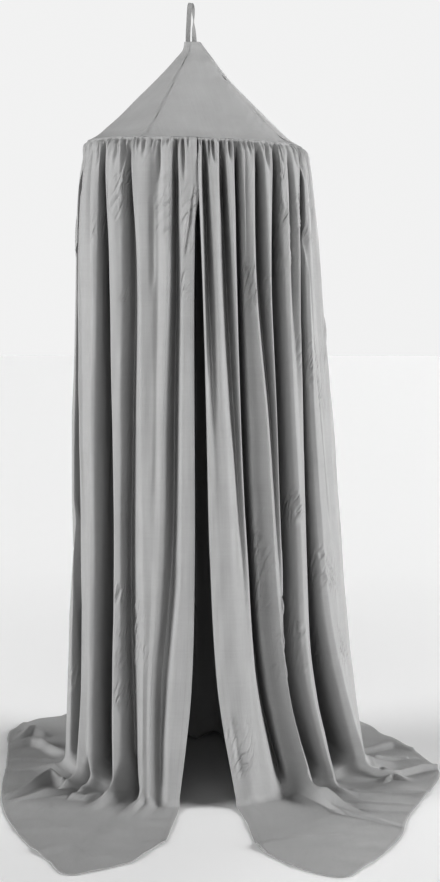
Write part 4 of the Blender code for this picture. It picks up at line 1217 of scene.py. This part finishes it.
def gore_grid(start, settings, seed):
    """Points of one gore's outer face from the neck to the seam, and how far each lies from a side seam."""
    rings = read(CROWN_RINGS, "height radius centre")
    height_at, radius_at, _ = rings
    slant_at = np.concatenate([[0.0], np.cumsum(np.hypot(np.diff(height_at), np.diff(radius_at)))])
    slant = np.linspace(0.0, slant_at[-1], GORE_ROWS)[:, None]
    height, radius, centre = (smooth_curve(slant, slant_at, values) for values in rings)
    down = (CROWN_TOP_HEIGHT - height) / (CROWN_TOP_HEIGHT - HOOP_HEIGHT)
    margin = np.degrees(GORE_SEAM_MARGIN / radius)
    across = np.linspace(0.0, 1.0, GORE_COLUMNS + 1)
    across = across - GORE_BUNCHING * np.sin(2 * np.pi * across) / (2 * np.pi)
    bearing = start + margin + across * (360.0 / GORES - 2 * margin)
    arc = np.radians(360.0 / GORES) * radius
    to_seam = np.minimum(across, 1 - across) * arc
    to_hoop = slant_at[-1] - slant
    puff = GORE_PUFF * np.sin(np.pi * across) * np.sin(np.pi * np.clip(down, 0.0, 1.0))
    groove = settings.crown.seam_depth * np.exp(-(to_seam / GROOVE_HALF_WIDTH) ** 2)
    shoulder = SHOULDER_HEIGHT * np.exp(-((to_seam - SHOULDER_PLACE) / GROOVE_HALF_WIDTH) ** 2)
    from_middle = (across - 0.5) * arc
    pucker = soft_waves(from_middle, slant, seed, settings.crown.pucker, PUCKER_WAVES)
    near_edge = np.exp(-to_hoop / PUCKER_FADE) + 0.5 * np.exp(-to_seam / SIDE_PUCKER_FADE)
    pucker = pucker * near_edge * cosine_step(to_hoop / PUCKER_START)
    waves = soft_waves(from_middle, slant, seed + 1, CROWN_WAVE_HEIGHT, CROWN_WAVES)
    waves = waves * cosine_step(slant / CROWN_WAVE_START)
    lift = puff - groove + shoulder + pucker + waves
    flatten = cosine_step((height - CROWN_TOP_HEIGHT + NECK_BLEND_HEIGHT) / NECK_BLEND_HEIGHT)
    depth_radius = radius + (NECK_HALF_DEPTH - radius) * flatten
    turn = np.radians(bearing)
    x = (radius + lift) * np.sin(turn)
    y = -(depth_radius + lift) * np.cos(turn)
    z = height - math.tan(HOOP_ROLL) * x * down + 0.5 * lift
    lip = settings.crown.lip
    grid = np.stack([x + centre, y, z], axis=-1)
    last = grid[-1]
    outward = np.stack([np.sin(turn[-1]), -np.cos(turn[-1]), np.zeros_like(turn[-1])], axis=-1)
    fall = np.array((0.0, 0.0, 1.0))
    over = [last + outward * LIP_OUT - fall * 0.4 * lip, last - outward * LIP_IN - fall * lip]
    grid = np.concatenate([grid, np.stack(over)])
    to_seam = np.concatenate([to_seam, to_seam[-1:], to_seam[-1:]])
    flat_across = np.concatenate([from_middle, from_middle[-1:], from_middle[-1:]])
    flat = np.stack([flat_across, running_length(grid, 0)], axis=-1)
    return grid, flat, to_seam


def make_gore(name, start, seed, settings):
    """One gore of the crown."""
    grid, flat, to_seam = gore_grid(start, settings, seed)
    finish = cloth_finish(f"{name}_cloth", settings.cloth, settings.cloth.colour)
    return add_sheet(name, grid, flat, to_seam + GORE_EDGE_START, finish, flip=True)


# ---- Loop -------------------------------------------------------------------------------------------
def make_loop(settings):
    """The hanging tape: up one side, over the hook, and down the other with half a turn in it."""
    tape = settings.tape
    stations = np.linspace(0.0, 1.0, len(LOOP_PATH))
    at = np.linspace(0.0, 1.0, LOOP_STEPS + 1)
    *path, twist = (smooth_curve(at, stations, values) for values in read(LOOP_PATH, "x y z twist"))
    path = np.array(path).T
    tangents = np.gradient(path, axis=0)
    half_width, half_depth = 0.5 * tape.width, 0.5 * tape.thickness
    section = []
    for side in (1, -1):
        for k in range(ROUND_EDGE_POINTS):
            turn = math.radians(180.0 * k / (ROUND_EDGE_POINTS - 1) - 90.0 * side)
            centre = side * (half_width - half_depth)
            section.append((centre + half_depth * math.cos(turn), half_depth * math.sin(turn)))
    section.append(section[0])
    grid = np.empty((len(at), len(section), 3))
    for row, point, tangent, angle in zip(grid, path, tangents, twist):
        along = Vector(tangent).normalized()
        side = Vector((1, 0, 0))
        side = (side - along * side.dot(along)).normalized()
        side = Quaternion(along, math.radians(angle)) @ side
        face = along.cross(side)
        for k, (wide, deep) in enumerate(section):
            row[k] = Vector(point) + side * wide + face * deep
    down = running_length(path[:, None, :], 0)
    wide = np.array([place[0] for place in section])
    flat = np.stack([np.broadcast_to(wide, grid.shape[:2]), np.broadcast_to(down, grid.shape[:2])], axis=-1)
    finish = tape_finish("loop_tape_weave", settings.cloth, tape.colour)
    piece = add_sheet("loop_tape", grid, flat, np.full(grid.shape[:2], 1.0), finish, flip=False)
    bm = bmesh.new()
    bm.from_mesh(piece.data)
    bmesh.ops.remove_doubles(bm, verts=bm.verts, dist=1e-6)
    bmesh.ops.holes_fill(bm, edges=bm.edges)
    bm.to_mesh(piece.data)
    bm.free()
    return piece


# ---- Operators --------------------------------------------------------------------------------------
class CANOPY_OT_skirt(bpy.types.Operator):
    """Builds the two gathered skirt panels with their turned hems"""

    bl_idname = "canopy.skirt"
    bl_label = "Gathered skirt"

    def execute(self, context):
        settings = context.scene.canopy
        for plan in PANELS:
            piece = make_skirt(plan, settings)
            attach(piece, "root")
            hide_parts(plan.node)
        return {"FINISHED"}


class CANOPY_OT_crown(bpy.types.Operator):
    """Builds the four gores of the crown"""

    bl_idname = "canopy.crown"
    bl_label = "Crown"

    def execute(self, context):
        settings = context.scene.canopy
        for k in range(GORES):
            start = GORE_SEAM_BEARING + k * 360.0 / GORES
            piece = make_gore(f"gore_{k + 1}", start, 31 + 2 * k, settings)
            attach(piece, "root")
            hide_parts(f"crown_gore_{k + 1}")
        return {"FINISHED"}


class CANOPY_OT_loop(bpy.types.Operator):
    """Builds the tape loop that the canopy hangs from"""

    bl_idname = "canopy.loop"
    bl_label = "Hanging loop"

    def execute(self, context):
        settings = context.scene.canopy
        piece = make_loop(settings)
        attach(piece, "root")
        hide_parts("hanging_loop")
        return {"FINISHED"}


class CANOPY_OT_hoop(bpy.types.Operator):
    """Gives the hoop its finish"""

    bl_idname = "canopy.hoop"
    bl_label = "Hoop"

    def execute(self, context):
        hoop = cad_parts["hoop"]
        hoop.data.materials.clear()
        hoop.data.materials.append(hoop_finish())
        return {"FINISHED"}


class CANOPY_OT_stage(bpy.types.Operator):
    """Sets up the studio floor, the lights and the camera"""

    bl_idname = "canopy.stage"
    bl_label = "Studio stage"

    def execute(self, context):
        stage = context.scene.canopy.stage
        make_floor(stage)
        make_lights(stage)
        make_camera(stage)
        return {"FINISHED"}


CAMERA_PLACE = Vector((0.064, -4.821, 1.264))
CAMERA_PITCH = math.radians(-4.71)
SENSOR_HEIGHT = 24.0
FLOOR_SIZE = 60.0
SEEN_BACKGROUND = (0.90, 0.90, 0.90)
FLOOR_GAP = 0.0005
VIEW_GAMMA = 0.86

# Each light is a wide soft sun. Azimuth 0 shines from the front and 90 from the right-hand side.
StudioLight = namedtuple("StudioLight", "name azimuth elevation softness")
STUDIO_LIGHTS = table(
    StudioLight,
    ("left_light", -72.0, 16.0, 40.0),
    ("front_light", -2.0, 11.0, 50.0),
    ("right_light", 76.0, 19.0, 34.0),
    ("back_light", 160.0, 9.0, 30.0),
)


def make_floor(stage):
    """A wide plain floor just under the cloth."""
    half = 0.5 * FLOOR_SIZE
    z = CAD_BOX[0].z - FLOOR_GAP
    mesh = bpy.data.meshes.new("studio_floor")
    mesh.from_pydata([(-half, -half, z), (half, -half, z), (half, half, z),
                     (-half, half, z)], [], [(0, 1, 2, 3)])
    mesh.materials.append(floor_finish(stage.floor_colour))
    floor = placed("studio_floor", mesh)


def make_lights(stage):
    """Four wide soft suns, a weak even surround and a pale backdrop."""
    powers = (stage.left_power, stage.front_power, stage.right_power, stage.back_power)
    for plan, power in zip(STUDIO_LIGHTS, powers):
        light = bpy.data.lights.new(plan.name, "SUN")
        light.angle = math.radians(plan.softness)
        light.energy = power
        turn, rise = math.radians(plan.azimuth), math.radians(plan.elevation)
        level = math.cos(rise)
        towards = Vector((math.sin(turn) * level, -math.cos(turn) * level, math.sin(rise)))
        placed(plan.name, light).rotation_euler = towards.to_track_quat("Z", "Y").to_euler()
    world = bpy.data.worlds.new("studio_surround")
    world.use_nodes = True
    tree = world.node_tree
    surround = tree.nodes["Background"]
    surround.inputs["Color"].default_value = (1.0, 1.0, 1.0, 1.0)
    surround.inputs["Strength"].default_value = stage.sky_strength
    seen = tree.nodes.new("ShaderNodeBackground")
    seen.inputs["Color"].default_value = (*SEEN_BACKGROUND, 1.0)
    path = tree.nodes.new("ShaderNodeLightPath")
    choose = tree.nodes.new("ShaderNodeMixShader")
    tree.links.new(path.outputs["Is Camera Ray"], choose.inputs["Fac"])
    tree.links.new(surround.outputs["Background"], choose.inputs[1])
    tree.links.new(seen.outputs["Background"], choose.inputs[2])
    tree.links.new(choose.outputs["Shader"], tree.nodes["World Output"].inputs["Surface"])
    bpy.context.scene.world = world
    view = bpy.context.scene.view_settings
    view.view_transform = "Standard"
    view.gamma = VIEW_GAMMA


def make_camera(stage):
    """A camera in front, a little above half height and tipped slightly down."""
    lens = bpy.data.cameras.new("front_camera")
    lens.sensor_fit = "VERTICAL"
    lens.sensor_height = SENSOR_HEIGHT
    lens.lens = stage.lens
    camera = placed("front_camera", lens)
    camera.location = CAMERA_PLACE - HANG_POINT
    camera.rotation_euler = (0.5 * math.pi + CAMERA_PITCH, 0.0, 0.0)
    bpy.context.scene.camera = camera


class CANOPY_PT_panel(bpy.types.Panel):
    """The canopy's operators and settings"""

    bl_idname = "CANOPY_PT_panel"
    bl_label = "Net canopy"
    bl_space_type = "VIEW_3D"
    bl_region_type = "UI"
    bl_category = "Canopy"

    def draw(self, context):
        settings = context.scene.canopy
        for operator in OPERATORS:
            self.layout.operator(operator.bl_idname)
        for group in ("cloth", "skirt", "crown", "tape", "stage"):
            box = self.layout.box()
            box.label(text=group.capitalize())
            values = getattr(settings, group)
            for name in values.__annotations__:
                box.prop(values, name)


OPERATORS = (CANOPY_OT_loop, CANOPY_OT_crown, CANOPY_OT_hoop, CANOPY_OT_skirt, CANOPY_OT_stage)
CLASSES = (
    CanopyClothSettings,
    CanopySkirtSettings,
    CanopyCrownSettings,
    CanopyTapeSettings,
    CanopyStageSettings,
    CanopySettings,
    *OPERATORS,
    CANOPY_PT_panel,
)


def register():
    """Adds the classes and the settings to Blender."""
    for each in CLASSES:
        bpy.utils.register_class(each)
    bpy.types.Scene.canopy = PointerProperty(type=CanopySettings)


def unregister():
    """Takes the settings and the classes out again."""
    del bpy.types.Scene.canopy
    for each in reversed(CLASSES):
        bpy.utils.unregister_class(each)


def main():
    register()
    bpy.ops.canopy.loop()
    bpy.ops.canopy.crown()
    bpy.ops.canopy.hoop()
    bpy.ops.canopy.skirt()
    bpy.ops.canopy.stage()


if __name__ == "__main__":
    main()
